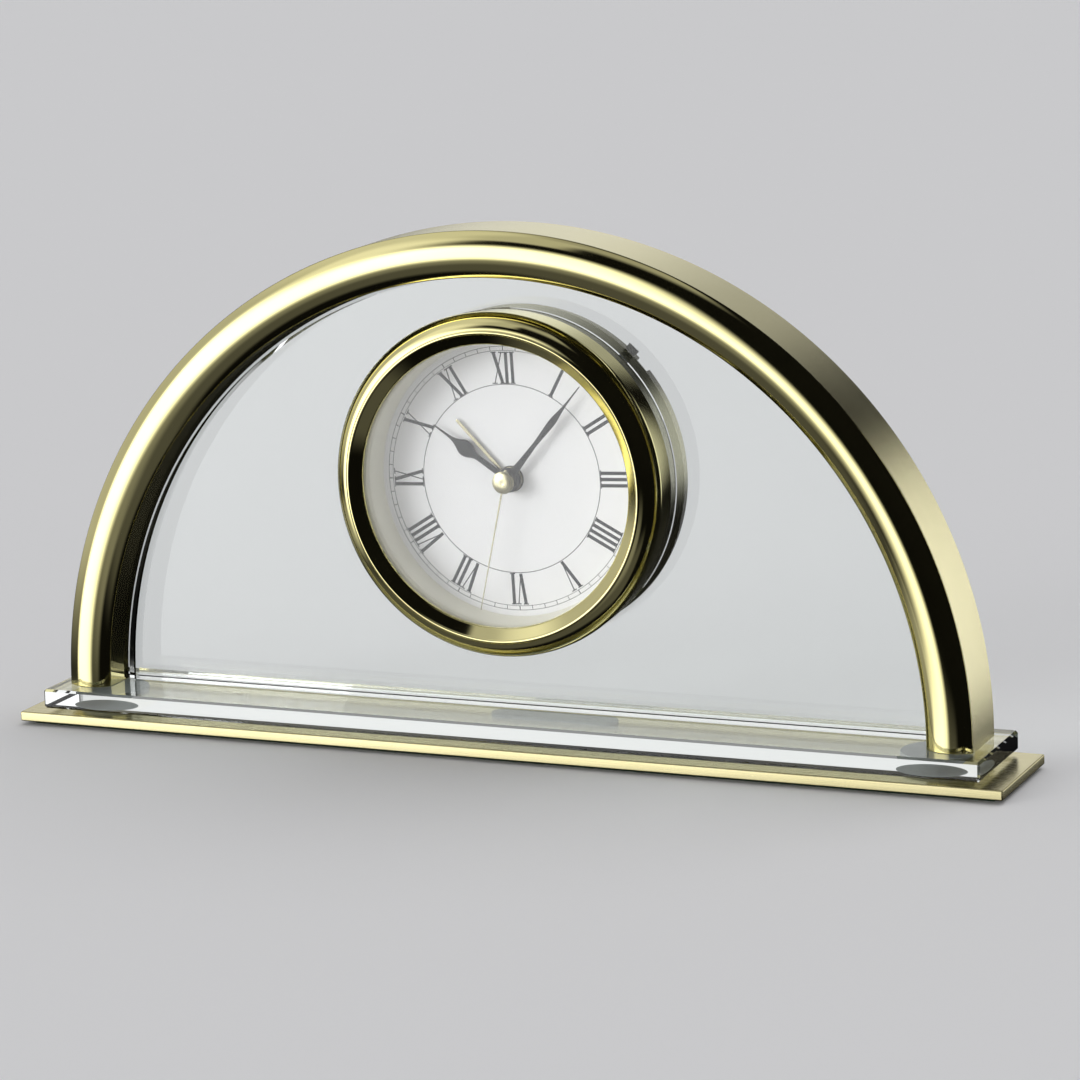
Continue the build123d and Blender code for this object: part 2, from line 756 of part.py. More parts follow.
def make_seconds_wheel():
    """Seconds wheel on the arbor that runs forward to the second hand."""
    arbor = disc(seconds_arbor_radius, second_hand_front_y, arbor_rear_y)
    pinion = wheel(fine_module, seconds_pinion_teeth, drive_wheel_y, seconds_wheel_y,
                   phase=drive_arbor_angle)
    return arbor + pinion + wheel(fine_module, seconds_wheel_teeth, seconds_wheel_y,
                                  seconds_wheel_y + wheel_thickness, phase=third_arbor_angle)


def make_drive_wheel():
    """Drive wheel and pinion between the seconds wheel and the centre wheel."""
    back_angle = drive_arbor_angle + 180
    arbor = disc(thin_arbor_radius, arbor_front_y, arbor_rear_y, drive_arbor)
    pinion = wheel(centre_module, drive_pinion_teeth, cannon_rear_y, drive_wheel_y, drive_arbor,
                   gap_phase(drive_pinion_teeth, back_angle))
    disc_wheel = wheel(fine_module, drive_wheel_teeth, drive_wheel_y, drive_wheel_y + wheel_thickness,
                       drive_arbor, gap_phase(drive_wheel_teeth, back_angle))
    return arbor + pinion + disc_wheel


def make_centre_wheel():
    """Centre wheel that turns the cannon pinion through a slipping fit."""
    return wheel(centre_module, centre_wheel_teeth, cannon_rear_y, cannon_rear_y + wheel_thickness,
                 phase=drive_arbor_angle, bore=minute_pipe_radius + pipe_running_gap)


def make_third_wheel():
    """Third wheel and pinion between the rotor and the seconds wheel."""
    arbor = disc(thin_arbor_radius, arbor_front_y, arbor_rear_y, third_arbor)
    pinion = wheel(fine_module, third_pinion_teeth, seconds_wheel_y, third_wheel_y, third_arbor,
                   gap_phase(third_pinion_teeth, third_arbor_angle + 180))
    disc_wheel = wheel(fine_module, third_wheel_teeth, third_wheel_y, third_wheel_y + wheel_thickness,
                       third_arbor, rotor_arbor_angle)
    return arbor + pinion + disc_wheel


def make_rotor():
    """Motor rotor with its magnet and pinion."""
    arbor = disc(thin_arbor_radius, third_wheel_y - level_gap, arbor_rear_y, rotor_arbor)
    pinion = wheel(fine_module, rotor_pinion_teeth, third_wheel_y, rotor_magnet_y, rotor_arbor,
                   gap_phase(rotor_pinion_teeth, rotor_arbor_angle + 180))
    return arbor + pinion + disc(rotor_radius, rotor_magnet_y, rotor_magnet_y + rotor_length, rotor_arbor)


# Hands


def hand(outline, angle, collar_radius, bore, front_y, collar_rear_y):
    """Flat hand drawn upwards, turned clockwise to its angle, on a round collar."""
    blade = Rot(0, 0, -angle) * make_face(Polyline(*outline, close=True))
    collar = tube(collar_radius, bore, front_y, collar_rear_y)
    return slab_between(blade - Circle(bore), front_y, front_y + hand_thickness) + collar


def mirrored(half):
    """Closed outline from the points of its right half, base first."""
    return half + [(-x, y) for x, y in reversed(half) if x > 0]


def make_alarm_hand():
    """Short straight alarm hand."""
    half = alarm_hand_width / 2
    outline = mirrored([(half, 0), (half, alarm_hand_length - half),
                        (half * hand_taper_share, alarm_hand_length)])
    return hand(outline, alarm_angle, alarm_collar_radius, alarm_pipe_radius, alarm_hand_front_y,
                alarm_hand_front_y + hub_collar_height)


def make_hour_hand():
    """Spade hour hand with a long fine tip."""
    arm = hour_arm_width / 2
    tip = hour_tip_width / 2
    spade = hour_spade_width / 2
    shoulder = (hour_spade_start + hour_spade_middle) / 2
    waist = (hour_spade_middle + hour_spade_end) / 2
    outline = mirrored([(arm, 0), (arm, hour_spade_start), (spade * hour_spade_shoulder_share, shoulder),
                        (spade, hour_spade_middle), (spade * hand_taper_share, waist),
                        (tip, hour_spade_end), (tip, hour_hand_length)])
    return hand(outline, hour_angle, hour_collar_radius, hour_pipe_radius, hour_hand_front_y,
                hour_hand_front_y + hub_collar_height)


def make_minute_hand():
    """Lance minute hand with a needle tip."""
    outline = mirrored([(minute_root_width / 2, 0), (minute_neck_width / 2, minute_neck),
                        (minute_lance_width / 2, minute_lance), (minute_tip_width, minute_needle_start),
                        (minute_tip_width / 2, minute_hand_length)])
    return hand(outline, minute_angle, minute_collar_radius, minute_pipe_radius, minute_hand_front_y,
                minute_hand_front_y + hub_collar_height)


def make_second_hand():
    """Fine second hand with a short tail."""
    half = second_hand_width / 2
    outline = mirrored([(half, -second_tail_length), (half, second_hand_length)])
    return hand(outline, second_angle, second_collar_radius, seconds_arbor_radius, second_hand_front_y,
                second_hand_front_y + hub_collar_height)


def make_cap():
    """Domed cap pressed on the front of the seconds arbor."""
    cap = disc(cap_radius, second_hand_front_y - cap_height, second_hand_front_y)
    rim = cap.edges().filter_by(GeomType.CIRCLE).sort_by(Axis.Y)[0]
    return fillet(rim, cap_round)


def make_knob(place):
    """Fluted setting knob on an arbor."""
    knob = Circle(knob_radius)
    for flute in range(knob_flute_count):
        knob -= Pos(*polar(knob_radius, flute * 360 / knob_flute_count)) * Circle(knob_flute_depth)
    knob = slab_between(Pos(*place) * knob, knob_front_y, knob_rear_y)
    return knob - disc(arbor_radius, knob_front_y - overrun, knob_rear_y - knob_length / 2, place)


# Motor, circuit, buzzer and battery


def make_stator():
    """Stator plate around the rotor, with an arm up to each end of the coil."""
    ring = Pos(*rotor_arbor) * Circle(rotor_radius + stator_hole_gap + stator_width / 4)
    arm_top = coil_offset_z + coil_cheek_radius / 2
    arms = None
    for side in (-1, 1):
        end_x = side * (coil_length / 2 + coil_cheek_thickness + stator_width / 4)
        arm = Rectangle(stator_width / 2, arm_top - rotor_arbor[1])
        arm = Pos(end_x, (rotor_arbor[1] + arm_top) / 2) * arm
        arms = arm if arms is None else arms + arm
    span = coil_length + 2 * coil_cheek_thickness + stator_width
    yoke = Pos(0, rotor_arbor[1]) * Rectangle(span, stator_width / 2)
    plate = (ring + arms + yoke) - Pos(*rotor_arbor) * Circle(rotor_radius + stator_hole_gap)
    return slab_between(plate, stator_front_y, stator_front_y + stator_thickness)


def make_coil():
    """Coil on its core, which lies on the stator arms."""
    core_y = stator_front_y - coil_core_radius
    half = coil_length / 2
    whole = half + coil_cheek_thickness + stator_width / 2
    axis_plane = Plane(origin=(-whole, core_y, clock_height + coil_offset_z),
                       x_dir=(0, 1, 0), z_dir=(1, 0, 0))
    core = extrude(axis_plane * Circle(coil_core_radius), amount=2 * whole)
    winding_plane = axis_plane.offset(whole - half)
    winding = extrude(winding_plane * Circle(coil_radius), amount=coil_length)
    near = extrude(axis_plane.offset(whole - half - coil_cheek_thickness) * Circle(coil_cheek_radius),
                   amount=coil_cheek_thickness)
    far = extrude(axis_plane.offset(whole + half) * Circle(coil_cheek_radius), amount=coil_cheek_thickness)
    return core + winding + near + far


def board_posts():
    """Places of the posts that carry the circuit board."""
    reach_x = board_width / 2 - board_post_margin
    reach_z = board_height / 2 - board_post_margin
    corners = ((-1, -1), (-1, 1), (1, 1))
    return [(board_centre_x + sx * reach_x, board_centre_z + sz * reach_z) for sx, sz in corners]


def make_board():
    """Circuit board."""
    return box_between(board_width, board_height, board_front_y, board_front_y + board_thickness,
                       (board_centre_x, board_centre_z))


def make_crystal():
    """Quartz crystal can that lies on the circuit board."""
    depth = board_front_y + board_thickness + crystal_radius
    plane = Plane(origin=(board_centre_x - crystal_length / 2, depth, clock_height + board_centre_z),
                  x_dir=(0, 1, 0), z_dir=(1, 0, 0))
    return extrude(plane * Circle(crystal_radius), amount=crystal_length)


def make_buzzer():
    """Buzzer disc in its rim on the case lid."""
    rear = case_inner_rear_y
    return disc(buzzer_radius - thread_gap, rear - buzzer_thickness, rear,
                (buzzer_centre_x, buzzer_centre_z))


def battery_plane(x):
    """Plane across the battery's axis."""
    return Plane(origin=(x, battery_y, clock_height + battery_centre_z), x_dir=(0, 1, 0), z_dir=(1, 0, 0))


def make_battery():
    """Dry cell with its raised cap."""
    body_length = battery_length - battery_cap_height
    cell = extrude(battery_plane(-battery_length / 2) * Circle(battery_radius), amount=body_length)
    cap_start = battery_plane(-battery_length / 2 + body_length)
    return cell + extrude(cap_start * Circle(battery_cap_radius), amount=battery_cap_height)


def make_plus_contact():
    """Flat contact at the cap end of the battery."""
    start = battery_length / 2 + contact_gap
    plate = extrude(battery_plane(start) * Rectangle(contact_width, contact_width), amount=contact_thickness)
    foot_width = case_inner_half - start
    foot = extrude(battery_plane(start) * Pos(0, contact_width / 2 - contact_thickness / 2)
                   * Rectangle(contact_width, contact_thickness), amount=foot_width)
    return plate + foot


def minus_plate_rear_x():
    """Place along the battery of the spring side of the other contact plate."""
    return -battery_length / 2 - contact_gap - spring_length - 2 * spring_wire_radius


def make_minus_contact():
    """Contact plate at the flat end of the battery."""
    start = minus_plate_rear_x() - contact_thickness
    plate = extrude(battery_plane(start) * Rectangle(contact_width, contact_width), amount=contact_thickness)
    foot_plane = battery_plane(-case_inner_half) * Pos(0, contact_width / 2 - contact_thickness / 2)
    foot_length = start + case_inner_half + contact_thickness
    foot = extrude(foot_plane * Rectangle(contact_width, contact_thickness), amount=foot_length)
    return plate + foot


def make_spring():
    """Coil spring between the contact plate and the flat end of the battery."""
    start = (minus_plate_rear_x() + spring_wire_radius, battery_y, clock_height + battery_centre_z)
    path = Helix(pitch=spring_length / spring_turns, height=spring_length, radius=spring_radius,
                 center=start, direction=(1, 0, 0))
    section = Plane(origin=path @ 0, z_dir=path % 0) * Circle(spring_wire_radius)
    return sweep(section, path=path)


# Rear cover, battery door and switch


def door_centre():
    """Centre of the battery door in clock coordinates."""
    return (0, battery_centre_z)


def make_cover():
    """Rear cover with holes for the knobs, sound slots, the hatch and the door's rails."""
    cover = Circle(cover_radius)
    for place in (time_arbor, alarm_arbor):
        cover -= Pos(*place) * Circle(knob_radius + knob_hole_gap)
    cover -= Pos(*door_centre()) * Rectangle(hatch_length, hatch_height)
    for angle in lug_angles():
        cover -= Pos(*polar(lug_middle, angle)) * Circle(screw_radius + thread_gap)
    first = -(cover_slot_count - 1) / 2
    for slot in range(cover_slot_count):
        shift = (first + slot) * cover_slot_pitch
        sound_slot = SlotOverall(cover_slot_length, cover_slot_width)
        cover -= Pos(0, case_size / 2 - cover_slot_length / 2 + shift) * sound_slot
    solid = slab_between(cover, cover_front_y, barrel_rear_y)
    solid -= slab_between(switch_notch(), cover_front_y - overrun, barrel_rear_y + overrun)
    rail_rear = barrel_rear_y + door_gap + door_thickness + rail_gap
    for side in (-1, 1):
        edge = side * (door_length / 2 + rail_gap)
        centre_z = door_centre()[1]
        post = box_between(rail_width, door_height, cover_front_y, rail_rear + rail_lip,
                           (edge + side * rail_width / 2, centre_z))
        lip = box_between(rail_width + rail_lip, door_height, rail_rear, rail_rear + rail_lip,
                          (edge + side * (rail_width - rail_lip) / 2, centre_z))
        solid += post + lip
    return solid


def make_cover_screws():
    """Screws of the rear cover."""
    screws = []
    for angle in lug_angles():
        place = polar(lug_middle, angle)
        shank = disc(screw_radius, cover_front_y - barrel_lug_length, barrel_rear_y, place)
        head = disc(screw_head_radius, barrel_rear_y, barrel_rear_y + screw_head_height, place)
        screws.append(shank + head)
    return screws


def make_door():
    """Battery door with thumb ribs, held under the rails."""
    front = barrel_rear_y + door_gap
    rear = front + door_thickness
    door = box_between(door_length, door_height, front, rear, door_centre())
    first = -(door_rib_count - 1) / 2
    for rib in range(door_rib_count):
        z = door_centre()[1] + (first + rib) * door_rib_pitch
        door += box_between(door_rib_length, door_rib_width, rear, rear + door_rib_height, (0, z))
    return door


def make_switch():
    """Alarm on and off lever, whose end stands out of the barrel rim."""
    reach = switch_reach()
    tab_length = barrel_wall + switch_stand_out
    arm = Pos(reach / 2, 0) * Rectangle(reach, switch_arm_width)
    tab = Pos(reach - tab_length / 2, 0) * Rectangle(tab_length, switch_tab_width)
    lever = arm + tab + Circle(switch_eye_radius) - Circle(switch_pin_radius + arbor_running_gap)
    placed = Pos(*switch_pivot()) * Rot(0, 0, 90 - switch_angle) * lever
    return slab_between(placed, switch_front_y, switch_front_y + switch_thickness)


def make_switch_pin():
    """Headed pin that the switch lever turns on, set in the case lid."""
    lever_rear = switch_front_y + switch_thickness + switch_level_gap
    shank = disc(switch_pin_radius, case_rear_y, lever_rear, switch_pivot())
    head = disc(switch_pin_head_radius, lever_rear, lever_rear + switch_pin_head_height, switch_pivot())
    return shank + head


def make_all():
    """Write every node."""
    os.makedirs("parts", exist_ok=True)
    save("base_plate", make_base_plate())
    save("felt_base", make_felt())
    save("bonding_pads", *make_bond_pads())
    save("glass_slab", make_slab())
    save("glass_panel", make_panel())
    save("arch", make_arch())
    save("arch_foot_plugs", *make_foot_plugs())
    save("clock_sleeve", make_sleeve())
    save("clock_barrel", make_barrel())
    save("bezel", make_bezel())
    save("lens", make_lens())
    save("lens_gasket", make_gasket())
    save("dial_wall", make_dial_wall())
    save("dial", make_dial())
    save("movement_holder", make_holder())
    save("case_front", make_case_front())
    save("case_back", make_case_back())
    save("case_screws", *make_case_screws())
    save("centre_bush", make_bush())
    save("alarm_wheel", make_alarm_wheel())
    save("alarm_hand", make_alarm_hand())
    save("alarm_setter", make_alarm_setter())
    save("alarm_knob", make_knob(alarm_arbor))
    save("hour_wheel", make_hour_wheel())
    save("hour_hand", make_hour_hand())
    save("cannon_pinion", make_cannon_pinion())
    save("minute_hand", make_minute_hand())
    save("minute_wheel", make_minute_wheel())
    save("time_knob", make_knob(time_arbor))
    save("seconds_wheel", make_seconds_wheel())
    save("second_hand", make_second_hand())
    save("hand_cap", make_cap())
    save("drive_wheel", make_drive_wheel())
    save("centre_wheel", make_centre_wheel())
    save("third_wheel", make_third_wheel())
    save("rotor", make_rotor())
    save("stator", make_stator())
    save("coil", make_coil())
    save("circuit_board", make_board())
    save("quartz_crystal", make_crystal())
    save("buzzer", make_buzzer())
    save("battery", make_battery())
    save("battery_contact_plus", make_plus_contact())
    save("battery_contact_minus", make_minus_contact())
    save("battery_spring", make_spring())
    save("rear_cover", make_cover())
    save("cover_screws", *make_cover_screws())
    save("battery_door", make_door())
    save("alarm_switch", make_switch())
    save("switch_pin", make_switch_pin())


make_all()
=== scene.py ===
"""Arched glass and brass mantel clock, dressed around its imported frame.

Metres throughout. X runs along the base, -Y is the dial side and +Z is up.
The clock's own axis lies along Y through (0, 0, CLOCK_HEIGHT).
"""

import logging
import math
from collections.abc import Callable, Sequence
from dataclasses import dataclass
from enum import Enum

import bpy
from mathutils import Matrix, Vector


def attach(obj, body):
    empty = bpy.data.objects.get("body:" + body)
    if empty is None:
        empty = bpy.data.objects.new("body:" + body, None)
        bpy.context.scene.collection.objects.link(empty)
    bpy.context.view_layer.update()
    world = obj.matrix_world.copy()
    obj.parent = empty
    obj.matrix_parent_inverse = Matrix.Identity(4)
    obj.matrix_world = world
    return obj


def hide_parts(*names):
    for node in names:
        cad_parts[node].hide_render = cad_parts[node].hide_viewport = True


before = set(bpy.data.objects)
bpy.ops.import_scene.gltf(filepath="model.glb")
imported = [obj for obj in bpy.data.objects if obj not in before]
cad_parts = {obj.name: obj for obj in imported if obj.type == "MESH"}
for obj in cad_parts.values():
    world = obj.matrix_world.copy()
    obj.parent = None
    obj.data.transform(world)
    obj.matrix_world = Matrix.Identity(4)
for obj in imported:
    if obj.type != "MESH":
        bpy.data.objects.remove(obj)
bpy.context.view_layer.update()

LOG = logging.getLogger("mantel_clock")

CLOCK_HEIGHT = 0.0721
CLOCK_CENTRE = (0.0, 0.0, CLOCK_HEIGHT)
SLAB_TOP = 0.010
CONTACT_DIP = 0.00002
MERGE_DISTANCE = 0.000001
NEAR = 0.00001
POINT_SIZE = 0.001
SHARP_ANGLE = math.radians(30.0)
HOUR_ANGLE = 30.0
MINUTE_ANGLE = 6.0

Point = tuple[float, float]
Triple = tuple[float, float, float]


# Hand tools for meshes


class Element(Enum):
    """What a selection in edit mode is made of."""

    VERTEX = (True, False, False)
    EDGE = (False, True, False)
    FACE = (False, False, True)


def clear_bench() -> None:
    """Leave edit mode and deselect everything."""
    if bpy.context.active_object is not None and bpy.context.active_object.mode != "OBJECT":
        bpy.ops.object.mode_set(mode="OBJECT")
    bpy.ops.object.select_all(action="DESELECT")


def activate(piece: bpy.types.Object) -> None:
    """Select one piece alone and make it the active one."""
    clear_bench()
    piece.select_set(True)
    bpy.context.view_layer.objects.active = piece


def open_piece(name: str) -> bpy.types.Object:
    """Name the newest primitive and open it in edit mode, all selected.

    Args:
        name: Name of the new piece.

    Returns:
        The piece, in edit mode.
    """
    piece = bpy.context.active_object
    piece.name = name
    piece.data.name = name
    bpy.ops.object.mode_set(mode="EDIT")
    bpy.context.tool_settings.mesh_select_mode = Element.VERTEX.value
    bpy.ops.mesh.select_all(action="SELECT")
    return piece


def select_whole() -> None:
    """Select all of the mesh that is open."""
    bpy.ops.mesh.select_all(action="SELECT")


def extrude(x: float, y: float, z: float) -> None:
    """Extrude what is selected by one move."""
    bpy.ops.mesh.extrude_region_move(TRANSFORM_OT_translate={"value": (x, y, z)})


def first_point(name: str, place: Triple) -> bpy.types.Object:
    """Start a piece from one point.

    Args:
        name: Name of the new piece.
        place: Where the point lies.

    Returns:
        The piece, in edit mode, with its point selected.
    """
    clear_bench()
    bpy.ops.mesh.primitive_plane_add(size=POINT_SIZE)
    piece = open_piece(name)
    bpy.ops.mesh.merge(type="CENTER")
    bpy.ops.transform.translate(value=place)
    return piece


def close_piece(piece: bpy.types.Object) -> bpy.types.Object:
    """Merge doubles, turn the faces outwards and leave edit mode.

    Args:
        piece: The piece that is open.

    Returns:
        The same piece, in object mode.
    """
    select_whole()
    bpy.ops.mesh.remove_doubles(threshold=MERGE_DISTANCE)
    bpy.ops.mesh.normals_make_consistent(inside=False)
    bpy.ops.object.mode_set(mode="OBJECT")
    return piece


def pick(piece: bpy.types.Object, element: Element, test: Callable[[Vector], bool]) -> None:
    """Select, in edit mode, what lies where a test wants it.

    Args:
        piece: The mesh to select in.
        element: Vertices, edges or faces.
        test: Says yes or no to the middle of each one.
    """
    bpy.ops.object.mode_set(mode="OBJECT")
    mesh = piece.data
    for group in (mesh.vertices, mesh.edges, mesh.polygons):
        group.foreach_set("select", [False] * len(group))
    points = [vertex.co.copy() for vertex in mesh.vertices]
    if element is Element.VERTEX:
        for vertex in mesh.vertices:
            vertex.select = test(vertex.co)
    elif element is Element.EDGE:
        for edge in mesh.edges:
            ends = [points[index] for index in edge.vertices]
            edge.select = test((ends[0] + ends[1]) / 2)
    else:
        for face in mesh.polygons:
            face.select = test(face.center)
    bpy.context.tool_settings.mesh_select_mode = element.value
    bpy.ops.object.mode_set(mode="EDIT")


def arc(start: Point, middle: Point, end: Point, steps: int) -> list[Point]:
    """Points on the circle through three points, both ends included.

    Args:
        start: First point.
        middle: A point between the ends.
        end: Last point.
        steps: Number of chords.

    Returns:
        The points in order.
    """
    (ax, ay), (bx, by), (cx, cy) = start, middle, end
    spread = 2 * (ax * (by - cy) + bx * (cy - ay) + cx * (ay - by))
    a, b, c = ax * ax + ay * ay, bx * bx + by * by, cx * cx + cy * cy
    x = (a * (by - cy) + b * (cy - ay) + c * (ay - by)) / spread
    y = (a * (cx - bx) + b * (ax - cx) + c * (bx - ax)) / spread
    radius = math.hypot(ax - x, ay - y)
    first, through, last = (math.atan2(q - y, p - x) for p, q in (start, middle, end))
    sweep = (last - first) % math.tau
    if (through - first) % math.tau > sweep:
        sweep -= math.tau
    angles = [first + sweep * step / steps for step in range(steps + 1)]
    return [(x + radius * math.cos(angle), y + radius * math.sin(angle)) for angle in angles]


def ring_outline(inner: float, outer: float, front: float, rear: float) -> list[Point]:
    """Closed outline of a plain ring, as radius and Y."""
    return [(inner, front), (outer, front), (outer, rear), (inner, rear), (inner, front)]


def turn(name: str, outline: Sequence[Point], steps: int, height: float = CLOCK_HEIGHT,
         sweep: float = math.tau) -> bpy.types.Object:
    """Turn an outline about a line along Y, as on a lathe.

    Args:
        name: Name of the new piece.
        outline: Radius and Y of each point; it closes on itself if first and last agree.
        steps: Number of steps round.
        height: Z of the axis.
        sweep: Angle turned; a half turn stands upright on its two ends.

    Returns:
        The turned piece in object mode.
    """
    radius, depth = outline[0]
    piece = first_point(name, (radius, depth, height))
    for next_radius, next_depth in outline[1:]:
        extrude(next_radius - radius, next_depth - depth, 0.0)
        radius, depth = next_radius, next_depth
    select_whole()
    bpy.ops.mesh.remove_doubles(threshold=MERGE_DISTANCE)
    bpy.ops.mesh.spin(steps=steps, angle=sweep, center=(0.0, 0.0, height), axis=(0.0, 1.0, 0.0))
    return close_piece(piece)


def block(name: str, low: Triple, high: Triple, bevel: float, segments: int) -> bpy.types.Object:
    """Box between two corners with bevelled edges.

    Args:
        name: Name of the new piece.
        low: Lowest corner.
        high: Highest corner.
        bevel: Width of the bevel.
        segments: Faces across the bevel.

    Returns:
        The bevelled box in object mode.
    """
    clear_bench()
    bpy.ops.mesh.primitive_cube_add(size=1.0)
    piece = open_piece(name)
    bpy.ops.transform.resize(value=tuple(h - l for l, h in zip(low, high)))
    bpy.ops.transform.translate(value=tuple((h + l) / 2 for l, h in zip(low, high)))
    bpy.ops.mesh.bevel(offset=bevel, segments=segments, affect="EDGES")
    return close_piece(piece)


def blade(name: str, stations: Sequence[Point], front: float, thickness: float) -> bpy.types.Object:
    """Flat blade that points up from the origin, drawn station by station.

    Args:
        name: Name of the new piece.
        stations: Height and half width of each station, lowest first.
        front: Y of the front face.
        thickness: Depth behind the front face.

    Returns:
        The blade in object mode.
    """
    height, half = stations[0]
    piece = first_point(name, (-half, front, height))
    extrude(2 * half, 0.0, 0.0)
    select_whole()
    for next_height, next_half in stations[1:]:
        extrude(0.0, 0.0, next_height - height)
        bpy.ops.transform.resize(value=(next_half / half, 1.0, 1.0),
                                 center_override=(0.0, front, next_height))
        height, half = next_height, next_half
    select_whole()
    extrude(0.0, thickness, 0.0)
    return close_piece(piece)


def apply_modifier(piece: bpy.types.Object, kind: str, **settings: object) -> None:
    """Add one modifier, set it and apply it.

    Args:
        piece: The piece that it works on.
        kind: Type of the modifier.
        settings: Its properties.
    """
    activate(piece)
    modifier = piece.modifiers.new(kind.lower(), kind)
    for key, value in settings.items():
        setattr(modifier, key, value)
    bpy.ops.object.modifier_apply(modifier=modifier.name)


def round_edges(piece: bpy.types.Object, width: float, segments: int = 2) -> None:
    """Round every sharp edge of a piece."""
    apply_modifier(piece, "BEVEL", width=width, segments=segments, limit_method="ANGLE",
                   angle_limit=SHARP_ANGLE, use_clamp_overlap=True)


def discard(*pieces: bpy.types.Object) -> None:
    """Remove pieces that only served to make others."""
    for piece in pieces:
        bpy.data.objects.remove(piece, do_unlink=True)


def cut(piece: bpy.types.Object, cutter: bpy.types.Object) -> None:
    """Cut one solid out of a piece, and remove the cutter."""
    apply_modifier(piece, "BOOLEAN", operation="DIFFERENCE", solver="EXACT", object=cutter)
    discard(cutter)


def smooth(piece: bpy.types.Object, crease: float = SHARP_ANGLE) -> None:
    """Smooth shading, with creases beyond an angle and the flat faces kept flat.

    Args:
        piece: The piece to shade.
        crease: Angle beyond which an edge stays crisp.
    """
    activate(piece)
    bpy.ops.object.shade_smooth_by_angle(angle=crease)
    apply_modifier(piece, "WEIGHTED_NORMAL", keep_sharp=True)


def copy_of(piece: bpy.types.Object, name: str) -> bpy.types.Object:
    """Copy of a piece with a mesh of its own.

    Args:
        piece: The piece to copy.
        name: Name of the copy.

    Returns:
        The copy.
    """
    twin = piece.copy()
    twin.data = piece.data.copy()
    twin.name = name
    twin.data.name = name
    bpy.context.scene.collection.objects.link(twin)
    return twin


def settle(piece: bpy.types.Object, place: Triple = (0.0, 0.0, 0.0), angle: float = 0.0) -> None:
    """Turn and move a piece, and put both in its mesh.

    Args:
        piece: The piece to settle.
        place: Where its origin goes.
        angle: Turn about Y, clockwise as the dial is seen.
    """
    activate(piece)
    piece.rotation_euler = (0.0, angle, 0.0)
    piece.location = place
    bpy.ops.object.transform_apply(location=True, rotation=True, scale=True)


def join(pieces: Sequence[bpy.types.Object], name: str) -> bpy.types.Object:
    """Join several pieces into the first one.

    Args:
        pieces: The pieces.
        name: Name of the whole.

    Returns:
        The joined piece.
    """
    clear_bench()
    for piece in pieces:
        piece.select_set(True)
    bpy.context.view_layer.objects.active = pieces[0]
    bpy.ops.object.join()
    pieces[0].name = name
    pieces[0].data.name = name
    return pieces[0]


# Finishes


def add_node(tree: bpy.types.NodeTree, kind: str, values: dict[str, object] | None = None,
             **settings: object) -> bpy.types.Node:
    """Add a node to a tree.

    Args:
        tree: The tree.
        kind: Type of the node.
        values: Plain values of its inputs, by name.
        settings: Its own properties.

    Returns:
        The node.
    """
    node = tree.nodes.new(kind)
    for key, value in settings.items():
        setattr(node, key, value)
    for key, value in (values or {}).items():
        node.inputs[key].default_value = value
    return node


def wire(tree: bpy.types.NodeTree, *pairs: tuple[bpy.types.NodeSocket, bpy.types.NodeSocket]) -> None:
    """Link outputs to inputs, given in pairs."""
    for source, target in pairs:
        tree.links.new(source, target)


@dataclass(frozen=True)
class Tone:
    """Slow drift of a colour over a surface."""

    second: Triple
    scale: float
    amount: float


@dataclass(frozen=True)
class Grain:
    """Fine lines or grit left by how a surface was made."""

    scale: Triple
    height: float
    rough_low: float
    rough_high: float


def grit(scale: float, height: float, rough_low: float, rough_high: float) -> Grain:
    """Grain that is the same along every axis."""
    return Grain((scale, scale, scale), height, rough_low, rough_high)


